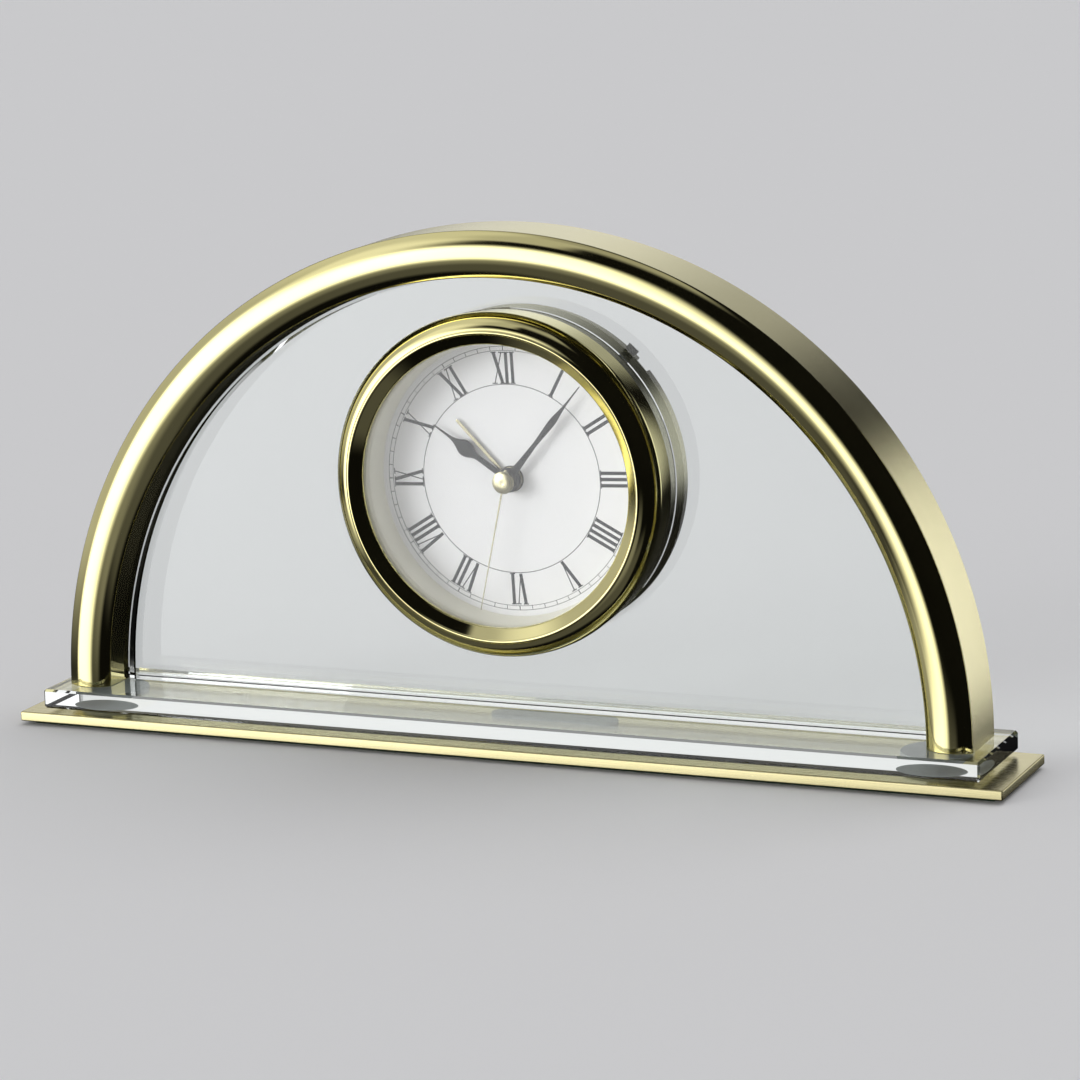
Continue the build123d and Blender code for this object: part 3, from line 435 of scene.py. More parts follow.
class NodeKit:
    """Node groups that several materials share."""

    def __init__(self) -> None:
        """Build the groups once."""
        self.tone = self._tone()
        self.grain = self._grain()
        self.rings = self._rings()

    @staticmethod
    def _open(name: str, inputs: Sequence[tuple[str, str, object]],
              outputs: Sequence[tuple[str, str]]) -> tuple:
        """Start a node group.

        Args:
            name: Name of the group.
            inputs: Name, socket type and default of each input.
            outputs: Name and socket type of each output.

        Returns:
            The group, its input node and its output node.
        """
        group = bpy.data.node_groups.new(name, "ShaderNodeTree")
        for label, kind, default in inputs:
            socket = group.interface.new_socket(name=label, in_out="INPUT", socket_type=kind)
            if default is not None:
                socket.default_value = default
        for label, kind in outputs:
            group.interface.new_socket(name=label, in_out="OUTPUT", socket_type=kind)
        return group, group.nodes.new("NodeGroupInput"), group.nodes.new("NodeGroupOutput")

    def _tone(self) -> bpy.types.NodeTree:
        """Group that mixes two colours by soft clouds.

        Returns:
            The group.
        """
        group, entry, leave = self._open(
            "clouded_tone",
            [("Place", "NodeSocketVector", None), ("First", "NodeSocketColor", None),
             ("Second", "NodeSocketColor", None), ("Scale", "NodeSocketFloat", 60.0),
             ("Amount", "NodeSocketFloat", 0.5)],
            [("Color", "NodeSocketColor")])
        clouds = add_node(group, "ShaderNodeTexNoise", {"Detail": 4.0, "Roughness": 0.55})
        spread = add_node(group, "ShaderNodeMapRange", {"From Min": 0.3, "From Max": 0.7})
        share = add_node(group, "ShaderNodeMath", operation="MULTIPLY")
        mix = add_node(group, "ShaderNodeMix", data_type="RGBA")
        wire(group,
             (entry.outputs["Place"], clouds.inputs["Vector"]),
             (entry.outputs["Scale"], clouds.inputs["Scale"]),
             (clouds.outputs["Fac"], spread.inputs["Value"]),
             (spread.outputs["Result"], share.inputs[0]),
             (entry.outputs["Amount"], share.inputs[1]),
             (share.outputs["Value"], mix.inputs[0]),
             (entry.outputs["First"], mix.inputs[6]),
             (entry.outputs["Second"], mix.inputs[7]),
             (mix.outputs[2], leave.inputs["Color"]))
        return group

    def _grain(self) -> bpy.types.NodeTree:
        """Group that gives a height and a roughness from stretched noise.

        Returns:
            The group.
        """
        group, entry, leave = self._open(
            "drawn_grain",
            [("Place", "NodeSocketVector", None), ("Rough Low", "NodeSocketFloat", 0.2),
             ("Rough High", "NodeSocketFloat", 0.3)],
            [("Height", "NodeSocketFloat"), ("Roughness", "NodeSocketFloat")])
        noise = add_node(group, "ShaderNodeTexNoise", {"Scale": 1.0, "Detail": 3.0, "Roughness": 0.6})
        spread = add_node(group, "ShaderNodeMapRange", {"From Min": 0.25, "From Max": 0.75})
        wire(group,
             (entry.outputs["Place"], noise.inputs["Vector"]),
             (noise.outputs["Fac"], spread.inputs["Value"]),
             (entry.outputs["Rough Low"], spread.inputs["To Min"]),
             (entry.outputs["Rough High"], spread.inputs["To Max"]),
             (noise.outputs["Fac"], leave.inputs["Height"]),
             (spread.outputs["Result"], leave.inputs["Roughness"]))
        return group

    def _rings(self) -> bpy.types.NodeTree:
        """Group that turns a place into its distance from the Y axis, for turned lines.

        Returns:
            The group.
        """
        group, entry, leave = self._open(
            "turned_lines",
            [("Place", "NodeSocketVector", None)],
            [("Place", "NodeSocketVector")])
        split = add_node(group, "ShaderNodeSeparateXYZ")
        flat = add_node(group, "ShaderNodeCombineXYZ")
        length = add_node(group, "ShaderNodeVectorMath", operation="LENGTH")
        gather = add_node(group, "ShaderNodeCombineXYZ")
        wire(group,
             (entry.outputs["Place"], split.inputs[0]),
             (split.outputs["X"], flat.inputs["X"]),
             (split.outputs["Z"], flat.inputs["Z"]),
             (flat.outputs[0], length.inputs[0]),
             (length.outputs["Value"], gather.inputs["X"]),
             (split.outputs["Y"], gather.inputs["Y"]),
             (gather.outputs[0], leave.inputs["Place"]))
        return group


class Sketcher:
    """Lays out one material's nodes."""

    def __init__(self, name: str, kit: NodeKit) -> None:
        """Start a material with a Principled shader.

        Args:
            name: Name of the material.
            kit: Node groups that it may use.
        """
        self.material = bpy.data.materials.new(name)
        self.material.use_nodes = True
        self.tree = self.material.node_tree
        self.kit = kit
        self.shader = self.tree.nodes["Principled BSDF"]
        self.output = self.tree.nodes["Material Output"]
        self.place = add_node(self.tree, "ShaderNodeTexCoord").outputs["Object"]

    def levels(self, values: dict[str, float]) -> None:
        """Set plain numbers on the shader's own sockets."""
        for label, value in values.items():
            self.shader.inputs[label].default_value = value

    def mapped(self, scale: Triple, location: Triple = (0.0, 0.0, 0.0)) -> bpy.types.NodeSocket:
        """Object coordinates moved, then scaled.

        Args:
            scale: Scale along each axis.
            location: Point that becomes the origin.

        Returns:
            The socket that carries the coordinates.
        """
        centre = add_node(self.tree, "ShaderNodeMapping",
                          {"Location": tuple(-value for value in location)})
        stretch = add_node(self.tree, "ShaderNodeMapping", {"Scale": scale})
        wire(self.tree, (self.place, centre.inputs["Vector"]),
             (centre.outputs["Vector"], stretch.inputs["Vector"]))
        return stretch.outputs["Vector"]

    def group(self, tree: bpy.types.NodeTree) -> bpy.types.Node:
        """Place a shared node group."""
        return add_node(self.tree, "ShaderNodeGroup", node_tree=tree)

    def colour(self, first: Triple, tone: Tone) -> None:
        """Give the surface a colour that drifts towards a second one.

        Args:
            first: The colour.
            tone: The second colour and how the two mix.
        """
        node = self.group(self.kit.tone)
        node.inputs["First"].default_value = (*first, 1.0)
        node.inputs["Second"].default_value = (*tone.second, 1.0)
        node.inputs["Scale"].default_value = tone.scale
        node.inputs["Amount"].default_value = tone.amount
        wire(self.tree, (self.place, node.inputs["Place"]),
             (node.outputs["Color"], self.shader.inputs["Base Color"]))

    def surface(self, grain: Grain, turned_about: Triple | None) -> None:
        """Give the surface its relief and the roughness that goes with it.

        Args:
            grain: Scale, height and roughness of the lines or grit.
            turned_about: Point on the Y axis of turned lines, if the lines are rings.
        """
        node = self.group(self.kit.grain)
        node.inputs["Rough Low"].default_value = grain.rough_low
        node.inputs["Rough High"].default_value = grain.rough_high
        bump = add_node(self.tree, "ShaderNodeBump", {"Strength": 1.0, "Distance": grain.height})
        if turned_about is None:
            place = self.mapped(grain.scale)
        else:
            rings = self.group(self.kit.rings)
            stretch = add_node(self.tree, "ShaderNodeMapping", {"Scale": grain.scale})
            wire(self.tree, (self.mapped((1.0, 1.0, 1.0), turned_about), rings.inputs["Place"]),
                 (rings.outputs["Place"], stretch.inputs["Vector"]))
            place = stretch.outputs["Vector"]
        wire(self.tree, (place, node.inputs["Place"]),
             (node.outputs["Height"], bump.inputs["Height"]),
             (bump.outputs["Normal"], self.shader.inputs["Normal"]),
             (node.outputs["Roughness"], self.shader.inputs["Roughness"]))


@dataclass(frozen=True)
class Finish:
    """A solid finish: metal, plastic, paint, felt or foam."""

    name: str
    colour: Triple
    tone: Tone
    grain: Grain
    metallic: float = 0.0
    specular: float = 0.5
    coat: float = 0.0
    coat_roughness: float = 0.05
    sheen: float = 0.0
    turned_about: Triple | None = None

    def material(self, kit: NodeKit) -> bpy.types.Material:
        """Build the material.

        Args:
            kit: Shared node groups.

        Returns:
            The material.
        """
        sketch = Sketcher(self.name, kit)
        sketch.colour(self.colour, self.tone)
        sketch.surface(self.grain, self.turned_about)
        sketch.levels({"Metallic": self.metallic, "Specular IOR Level": self.specular,
                       "Coat Weight": self.coat, "Coat Roughness": self.coat_roughness,
                       "Sheen Weight": self.sheen})
        return sketch.material


@dataclass(frozen=True)
class Clear:
    """A clear finish, which lets light through to what is behind it."""

    name: str
    tint: Triple
    drift_share: float = 0.985
    drift_scale: float = 25.0
    roughness: float = 0.0
    ior: float = 1.5
    specular: float = 0.5

    def material(self, kit: NodeKit) -> bpy.types.Material:
        """Build the material, whose shadow is only lightly tinted.

        Args:
            kit: Shared node groups.

        Returns:
            The material.
        """
        sketch = Sketcher(self.name, kit)
        drift = tuple(value * self.drift_share for value in self.tint)
        sketch.colour(self.tint, Tone(drift, self.drift_scale, 1.0))
        sketch.levels({"Roughness": self.roughness, "IOR": self.ior,
                       "Specular IOR Level": self.specular, "Transmission Weight": 1.0})
        tree = sketch.tree
        open_glass = add_node(tree, "ShaderNodeBsdfTransparent", {"Color": (*self.tint, 1.0)})
        path = add_node(tree, "ShaderNodeLightPath")
        mix = add_node(tree, "ShaderNodeMixShader")
        wire(tree,
             (path.outputs["Is Shadow Ray"], mix.inputs["Fac"]),
             (sketch.shader.outputs["BSDF"], mix.inputs[1]),
             (open_glass.outputs["BSDF"], mix.inputs[2]),
             (mix.outputs["Shader"], sketch.output.inputs["Surface"]))
        return sketch.material


FINISHES: tuple[Finish | Clear, ...] = (
    Finish("brass_polished", (0.87, 0.80, 0.41), Tone((0.84, 0.76, 0.36), 40.0, 0.6),
           grit(90.0, 0.0000008, 0.05, 0.09), metallic=1.0),
    Finish("brass_band", (0.86, 0.80, 0.48), Tone((0.80, 0.74, 0.42), 30.0, 0.7),
           Grain((40.0, 9000.0, 40.0), 0.00001, 0.17, 0.25), metallic=1.0),
    Finish("brass_plate", (0.77, 0.70, 0.40), Tone((0.71, 0.64, 0.35), 30.0, 0.7),
           Grain((50.0, 7000.0, 7000.0), 0.00001, 0.20, 0.30), metallic=1.0),
    Finish("brass_hand", (0.38, 0.35, 0.24), Tone((0.33, 0.30, 0.20), 200.0, 0.6),
           grit(3000.0, 0.000004, 0.22, 0.32), metallic=1.0),
    Finish("brass_cap", (0.72, 0.66, 0.42), Tone((0.62, 0.56, 0.34), 200.0, 0.6),
           Grain((9000.0, 200.0, 1.0), 0.000004, 0.22, 0.34), metallic=1.0,
           turned_about=CLOCK_CENTRE),
    Clear("clear_glass", (0.955, 0.985, 0.972)),
    Clear("lens_glass", (0.985, 0.992, 0.988), specular=0.14),
    # The barrel's satin colour is kept dark as painted shade, standing in for the dim light it gets behind
    # the bezel and glass.
    Finish("satin_barrel_painted_shade", (0.37, 0.36, 0.26), Tone((0.32, 0.31, 0.22), 40.0, 0.7),
           Grain((60.0, 8000.0, 60.0), 0.00001, 0.22, 0.32), metallic=1.0),
    Finish("black_lacquer", (0.005, 0.006, 0.008), Tone((0.009, 0.010, 0.013), 300.0, 0.6),
           grit(4000.0, 0.000002, 0.24, 0.34), specular=0.1),
    Finish("dial_white", (0.835, 0.83, 0.84), Tone((0.81, 0.805, 0.815), 90.0, 0.7),
           grit(7000.0, 0.000004, 0.48, 0.60), specular=0.3),
    Finish("dial_ink", (0.004, 0.006, 0.010), Tone((0.008, 0.011, 0.017), 900.0, 0.8),
           grit(9000.0, 0.000002, 0.45, 0.60), specular=0.12),
    Finish("ivory_wall", (0.78, 0.76, 0.64), Tone((0.74, 0.72, 0.60), 80.0, 0.6),
           grit(1500.0, 0.000006, 0.30, 0.42)),
    Finish("black_plastic", (0.022, 0.022, 0.024), Tone((0.030, 0.030, 0.032), 200.0, 0.7),
           grit(9000.0, 0.00001, 0.42, 0.55), specular=0.45),
    Finish("white_plastic", (0.78, 0.78, 0.75), Tone((0.72, 0.72, 0.69), 300.0, 0.6),
           grit(5000.0, 0.000004, 0.30, 0.40)),
    Finish("grey_foam", (0.31, 0.33, 0.33), Tone((0.24, 0.26, 0.26), 900.0, 1.0),
           grit(3000.0, 0.00008, 0.75, 0.95), specular=0.2),
    Finish("green_felt", (0.030, 0.062, 0.036), Tone((0.018, 0.040, 0.022), 700.0, 1.0),
           grit(5000.0, 0.00012, 0.88, 1.0), specular=0.1, sheen=0.35),
    Finish("bright_steel", (0.60, 0.60, 0.61), Tone((0.52, 0.52, 0.53), 200.0, 0.7),
           Grain((3000.0, 3000.0, 400.0), 0.000006, 0.22, 0.34), metallic=1.0),
    Finish("copper_winding", (0.62, 0.24, 0.10), Tone((0.48, 0.17, 0.07), 300.0, 0.8),
           Grain((9000.0, 60.0, 60.0), 0.00004, 0.25, 0.38), metallic=0.6),
    Finish("board_lacquer", (0.03, 0.17, 0.07), Tone((0.02, 0.11, 0.05), 700.0, 0.8),
           grit(2500.0, 0.00001, 0.25, 0.4)),
    Finish("cell_sleeve", (0.13, 0.14, 0.16), Tone((0.10, 0.11, 0.12), 120.0, 0.7),
           Grain((500.0, 2500.0, 2500.0), 0.000004, 0.28, 0.38), metallic=0.3, coat=0.4),
)


class FinishShop:
    """Every finish of the clock, built once and handed out by name."""

    def __init__(self) -> None:
        """Build the shared groups and every material."""
        kit = NodeKit()
        self._materials = {finish.name: finish.material(kit) for finish in FINISHES}

    def give(self, name: str) -> bpy.types.Material:
        """One finish by its name."""
        return self._materials[name]


# Pieces


@dataclass
class SubAssembly:
    """Part of the clock that is built and dressed on its own."""

    shop: FinishShop

    def install(self, piece: bpy.types.Object, body: str, slot: str, nodes: Sequence[str],
                *finishes: str) -> None:
        """Dress a finished piece and hang it on its body.

        Args:
            piece: The finished piece.
            body: Body that it rides on.
            slot: Material slot of the record; not used.
            nodes: Solids that it stands for.
            finishes: Names of its finishes, in the order of its slots.
        """
        for finish in finishes:
            piece.data.materials.append(self.shop.give(finish))
        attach(piece, body)
        if nodes:
            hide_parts(*nodes)
        LOG.info("%s: %d faces on %s", piece.name, len(piece.data.polygons), body)


@dataclass
class Base(SubAssembly):
    """Brass plate on felt, with bonding pads and the glass slab on it."""

    plate_length: float = 0.280
    plate_depth: float = 0.038
    plate_bottom: float = 0.001
    plate_top: float = 0.0037
    plate_edge: float = 0.0004
    plate_edge_faces: int = 3
    felt_length: float = 0.274
    felt_depth: float = 0.032
    felt_wave: float = 0.00015
    felt_cells: tuple[int, int] = (220, 26)
    felt_seed: int = 3
    slab_length: float = 0.267
    slab_depth: float = 0.0346
    slab_bottom: float = 0.0047
    slab_bevel: float = 0.0006
    end_pad_radius: float = 0.0095
    end_pad_x: float = 0.11835
    end_pad_y: float = -0.004
    middle_pad: Point = (0.036, 0.0064)
    middle_pad_place: Point = (0.0109, 0.0009)
    pad_gap: float = 0.00006
    pad_bulge: float = 0.0002
    pad_steps: int = 96

    def build(self) -> None:
        """Build and dress the plate, felt, pads and slab."""
        self._felt()
        self._plate()
        self._pads()
        self._slab()

    def _plate(self) -> None:
        """Brass plate with its top edges broken."""
        half_x, half_y = self.plate_length / 2, self.plate_depth / 2
        plate = block("base_plate_brass", (-half_x, -half_y, self.plate_bottom),
                      (half_x, half_y, self.plate_top), self.plate_edge, self.plate_edge_faces)
        smooth(plate)
        self.install(plate, "clock_body", "brass_satin", ["base_plate"], "brass_plate")

    def _felt(self) -> None:
        """Felt sheet glued under the plate, its cut edge a little uneven."""
        clear_bench()
        along, across = self.felt_cells
        bpy.ops.mesh.primitive_grid_add(x_subdivisions=along, y_subdivisions=across, size=1.0)
        felt = open_piece("felt_sheet")
        bpy.ops.transform.resize(value=(self.felt_length, self.felt_depth, 1.0))
        edge_x = self.felt_length / 2 - self.felt_wave
        edge_y = self.felt_depth / 2 - self.felt_wave
        pick(felt, Element.VERTEX, lambda v: abs(v.x) > edge_x or abs(v.y) > edge_y)
        bpy.ops.transform.vertex_random(offset=self.felt_wave, seed=self.felt_seed)
        select_whole()
        bpy.ops.transform.resize(value=(1.0, 1.0, 0.0))
        close_piece(felt)
        apply_modifier(felt, "SOLIDIFY", thickness=self.plate_bottom, offset=1.0)
        smooth(felt)
        self.install(felt, "clock_body", "green_felt", ["felt_base"], "green_felt")

    def _pads(self) -> None:
        """Two round pads pressed flat against the slab, and a long one that only just clears it."""
        bottom, top = self.plate_top, self.slab_bottom + CONTACT_DIP
        pads = []
        for name, x in (("end_pad_left", -self.end_pad_x), ("end_pad_right", self.end_pad_x)):
            clear_bench()
            bpy.ops.mesh.primitive_cylinder_add(vertices=self.pad_steps, radius=self.end_pad_radius,
                                                depth=top - bottom)
            pad = open_piece(name)
            bpy.ops.transform.translate(value=(x, self.end_pad_y, (top + bottom) / 2))
            pads.append(close_piece(pad))
        pads.append(self._long_pad(bottom, self.slab_bottom - self.pad_gap))
        whole = join(pads, "bonding_foam")
        round_edges(whole, self.pad_bulge)
        smooth(whole)
        self.install(whole, "clock_body", "grey_foam", ["bonding_pads"], "grey_foam")

    def _long_pad(self, bottom: float, top: float) -> bpy.types.Object:
        """Flat pad with round ends.

        Args:
            bottom: Height of its underside.
            top: Height of its upper side.

        Returns:
            The pad in its place.
        """
        length, width = self.middle_pad
        clear_bench()
        bpy.ops.mesh.primitive_plane_add(size=1.0)
        pad = open_piece("middle_pad")
        bpy.ops.transform.resize(value=(length, width, 1.0))
        bpy.ops.transform.translate(value=(0.0, 0.0, bottom))
        bpy.ops.mesh.bevel(offset=width / 2 - CONTACT_DIP, segments=self.pad_steps // 4,
                           affect="VERTICES")
        select_whole()
        extrude(0.0, 0.0, top - bottom)
        close_piece(pad)
        settle(pad, (*self.middle_pad_place, 0.0))
        return pad

    def _slab(self) -> None:
        """Thick glass bar with polished bevels."""
        half_x, half_y = self.slab_length / 2, self.slab_depth / 2
        slab = block("slab_glass", (-half_x, -half_y, self.slab_bottom),
                     (half_x, half_y, SLAB_TOP), self.slab_bevel, 1)
        self.install(slab, "clock_body", "clear_glass", ["glass_slab"], "clear_glass")


@dataclass
class Arch(SubAssembly):
    """Brass half circle with a satin band and a polished rounded front."""

    outer_radius: float = 0.1293
    inner_radius: float = 0.1169
    shoulder: float = -0.0089
    nose: float = -0.0115
    rear: float = 0.0097
    edge: float = 0.00022
    edge_faces: int = 3
    crease: float = math.radians(20.0)
    nose_steps: int = 28
    steps: int = 180

    def build(self) -> None:
        """Build and dress the arch."""
        middle = (self.outer_radius + self.inner_radius) / 2
        front = arc((self.inner_radius, self.shoulder), (middle, self.nose),
                    (self.outer_radius, self.shoulder), self.nose_steps)
        outline = [*front, (self.outer_radius, self.rear), (self.inner_radius, self.rear), front[0]]
        arch = turn("arch_brass", outline, self.steps, SLAB_TOP, math.pi)
        activate(arch)
        bpy.ops.object.mode_set(mode="EDIT")
        for side in (-1.0, 1.0):
            pick(arch, Element.VERTEX, lambda v: abs(v.z - SLAB_TOP) < NEAR and v.x * side > 0)
            bpy.ops.mesh.edge_face_add()
        pick(arch, Element.VERTEX, lambda v: abs(v.z - SLAB_TOP) < NEAR)
        bpy.ops.transform.translate(value=(0.0, 0.0, -CONTACT_DIP))
        close_piece(arch)
        round_edges(arch, self.edge, self.edge_faces)
        smooth(arch, self.crease)
        self.install(arch, "clock_body", "brass_polished", ["arch", "arch_foot_plugs"],
                     "brass_polished", "brass_band")
        for face in arch.data.polygons:
            reach = math.hypot(face.center.x, face.center.z - SLAB_TOP)
            outside = face.center.y > self.shoulder and reach > middle
            face.material_index = 1 if outside or face.center.y > self.rear - self.edge else 0


@dataclass
class GlassPanel(SubAssembly):
    """Upright half round glass with a bevelled rim and the hole for the clock."""

    radius: float = 0.1168
    front: float = 0.0005
    rear: float = 0.0095
    bevel: float = 0.0008
    foot_bevel: float = 0.0004
    foot_gap: float = 0.00002
    front_axis_reach: float = 0.011
    hole_radius: float = 0.04458
    hole_bevel: float = 0.0003
    hole_steps: int = 240
    cutter_over: float = 0.002
    flat_angle: float = math.radians(0.2)
    crease: float = math.radians(15.0)
    steps: int = 180

    def build(self) -> None:
        """Build and dress the panel."""
        bottom = SLAB_TOP + self.foot_gap
        outline = [(0.0, self.front), (self.radius - self.bevel, self.front),
                   (self.radius, self.front + self.bevel), (self.radius, self.rear - self.bevel),
                   (self.radius - self.bevel, self.rear), (0.0, self.rear)]
        panel = turn("panel_glass", outline, self.steps, bottom, math.pi)
        self._foot(panel, bottom)
        cut(panel, self._hole())
        smooth(panel, self.crease)
        self.install(panel, "clock_body", "clear_glass", ["glass_panel", "clock_sleeve"], "clear_glass")

    def _foot(self, panel: bpy.types.Object, bottom: float) -> None:
        """Close the foot, clean the flat faces and bevel the foot's two long edges.

        Args:
            panel: The half round solid, open at the foot.
            bottom: Height of its foot.
        """
        activate(panel)
        bpy.ops.object.mode_set(mode="EDIT")
        pick(panel, Element.VERTEX,
             lambda v: abs(v.z - bottom) < NEAR and v.length > self.front_axis_reach)
        bpy.ops.mesh.edge_face_add()
        close_piece(panel)
        bpy.ops.object.mode_set(mode="EDIT")
        select_whole()
        bpy.ops.mesh.dissolve_limited(angle_limit=self.flat_angle)
        pick(panel, Element.EDGE, lambda m: abs(m.z - bottom) < NEAR and abs(m.x) < NEAR)
        bpy.ops.mesh.bevel(offset=self.foot_bevel, segments=1, affect="EDGES")
        close_piece(panel)

    def _hole(self) -> bpy.types.Object:
        """Cutter for the hole, flared at both faces.

        Returns:
            The cutter in its place.
        """
        wide = self.hole_radius + self.hole_bevel
        low, high = self.front - self.cutter_over, self.rear + self.cutter_over
        outline = [(0.0, low), (wide, low), (wide, self.front),
                   (self.hole_radius, self.front + self.hole_bevel),
                   (self.hole_radius, self.rear - self.hole_bevel), (wide, self.rear),
                   (wide, high), (0.0, high)]
        return turn("hole_cutter", outline, self.hole_steps)


@dataclass
class ClockHead(SubAssembly):
    """Barrel, bezel, lens and the sloping wall around the dial."""

    barrel_outer: float = 0.0446
    barrel_inner: float = 0.0434
    barrel_front: float = -0.0074
    barrel_rear: float = 0.0183
    barrel_edge: float = 0.0001
    notch_angle: float = 48.0
    notch_width: float = 0.0040
    notch_front: float = 0.0160
    notch_bevel: float = 0.0002
    cutter_over: float = 0.002
    bezel_shoulder: Point = (0.0459, -0.0074)
    bezel_foot: Point = (0.0454, 0.0005)
    bezel_gap: float = 0.00004
    bezel_edge: float = 0.00008
    bezel_crease: float = math.radians(25.0)
    bore_radius: float = 0.0409
    round_share: float = 0.67
    round_steps: int = 18
    crest_radius: float = 0.0410
    crest_half: float = 0.0005
    crest_depth: float = -0.0123
    crest_steps: int = 10
    slope_shares: tuple[float, ...] = (0.05, 0.5, 0.95)
    lip_radius: float = 0.0379
    lip_roll: float = 0.0003
    lip_front: float = -0.0106
    lip_steps: int = 8
    lens_front: float = -0.0092
    lens_radius: float = 0.0404
    lens_edge: float = 0.00015
    lens_crease: float = math.radians(20.0)
    wall_front_radius: float = 0.0393
    wall_rear_radius: float = 0.0369
    wall_outer_radius: float = 0.0433
    wall_edge: float = 0.00015
    dial_front: float = 0.0022
    steps: int = 240

    def build(self) -> None:
        """Build and dress the head of the clock."""
        self._barrel()
        self._bezel()
        self._lens()
        self._wall()

    def _barrel(self) -> None:
        """Satin tube, notched at its rear rim for the alarm switch; its dark colour is painted shade for
        the dim light it gets behind the bezel and glass.
        """
        barrel = turn("barrel_metal", ring_outline(self.barrel_inner, self.barrel_outer,
                                                   self.barrel_front, self.barrel_rear), self.steps)
        half, over = self.notch_width / 2, self.cutter_over
        notch = block("notch_cutter", (-half, self.notch_front, self.barrel_inner - over),
                      (half, self.barrel_rear + over, self.barrel_outer + over), self.notch_bevel, 1)
        settle(notch, CLOCK_CENTRE, math.radians(self.notch_angle))
        cut(barrel, notch)
        round_edges(barrel, self.barrel_edge)
        smooth(barrel)
        self.install(barrel, "clock_body", "satin_metal", ["clock_barrel"], "satin_barrel_painted_shade")

    def _bezel(self) -> None:
        """Polished ring: rounded outside, narrow crest, straight slope and a rolled lip."""
        crest_out = (self.crest_radius + self.crest_half, self.crest_depth)
        crest_in = (self.crest_radius - self.crest_half, self.crest_depth)
        crest_nose = (self.crest_radius, self.crest_depth - self.crest_half / 2)
        shoulder = self.bezel_shoulder
        round_middle = tuple(near + (far - near) * self.round_share
                             for near, far in ((crest_out[0], shoulder[0]), (shoulder[1], crest_out[1])))
        lip_out = (self.lip_radius, self.lens_front)
        lip_in = (self.lip_radius, self.lip_front)
        lip_nose = (self.lip_radius - self.lip_roll, (self.lip_front + self.lens_front) / 2)
        slope = [tuple(near + (far - near) * share for near, far in zip(lip_in, crest_in))
                 for share in self.slope_shares]
        seat = self.barrel_outer + self.bezel_gap
        outline = [
            *arc(crest_in, crest_nose, crest_out, self.crest_steps),
            *arc(crest_out, round_middle, shoulder, self.round_steps)[1:],
            self.bezel_foot,
            (seat, self.bezel_foot[1]),
            (seat, self.barrel_front),
            (self.bore_radius, self.barrel_front),
            (self.bore_radius, self.lens_front),
            lip_out,
            *arc(lip_out, lip_nose, lip_in, self.lip_steps)[1:],
            *slope,
            crest_in,
        ]
        bezel = turn("bezel_brass", outline, self.steps)
        round_edges(bezel, self.bezel_edge)
        smooth(bezel, self.bezel_crease)
        self.install(bezel, "clock_body", "brass_polished", ["bezel"], "brass_polished")

    def _lens(self) -> None:
        """Flat lens with ground edges."""
        edge, rim = self.lens_edge, self.lens_radius
        outline = [(0.0, self.lens_front), (rim - edge, self.lens_front),
                   (rim, self.lens_front + edge), (rim, self.barrel_front - edge),
                   (rim - edge, self.barrel_front), (0.0, self.barrel_front)]
        lens = turn("lens_disc", outline, self.steps)
        smooth(lens, self.lens_crease)
        self.install(lens, "clock_body", "clear_glass", ["lens"], "lens_glass")

    def _wall(self) -> None:
        """Ivory ring that slopes in from the lens to the dial."""
        outline = [(self.wall_front_radius, self.barrel_front), (self.wall_outer_radius, self.barrel_front),
                   (self.wall_outer_radius, self.dial_front), (self.wall_rear_radius, self.dial_front),
                   (self.wall_front_radius, self.barrel_front)]
        wall = turn("dial_wall_ring", outline, self.steps)
        round_edges(wall, self.wall_edge)
        smooth(wall)
        self.install(wall, "clock_body", "ivory_plastic", ["dial_wall"], "ivory_wall")


class Glyph(Enum):
    """Roman figures by their width on the dial, in metres."""

    I = 0.00165
    V = 0.0030
    X = 0.0031


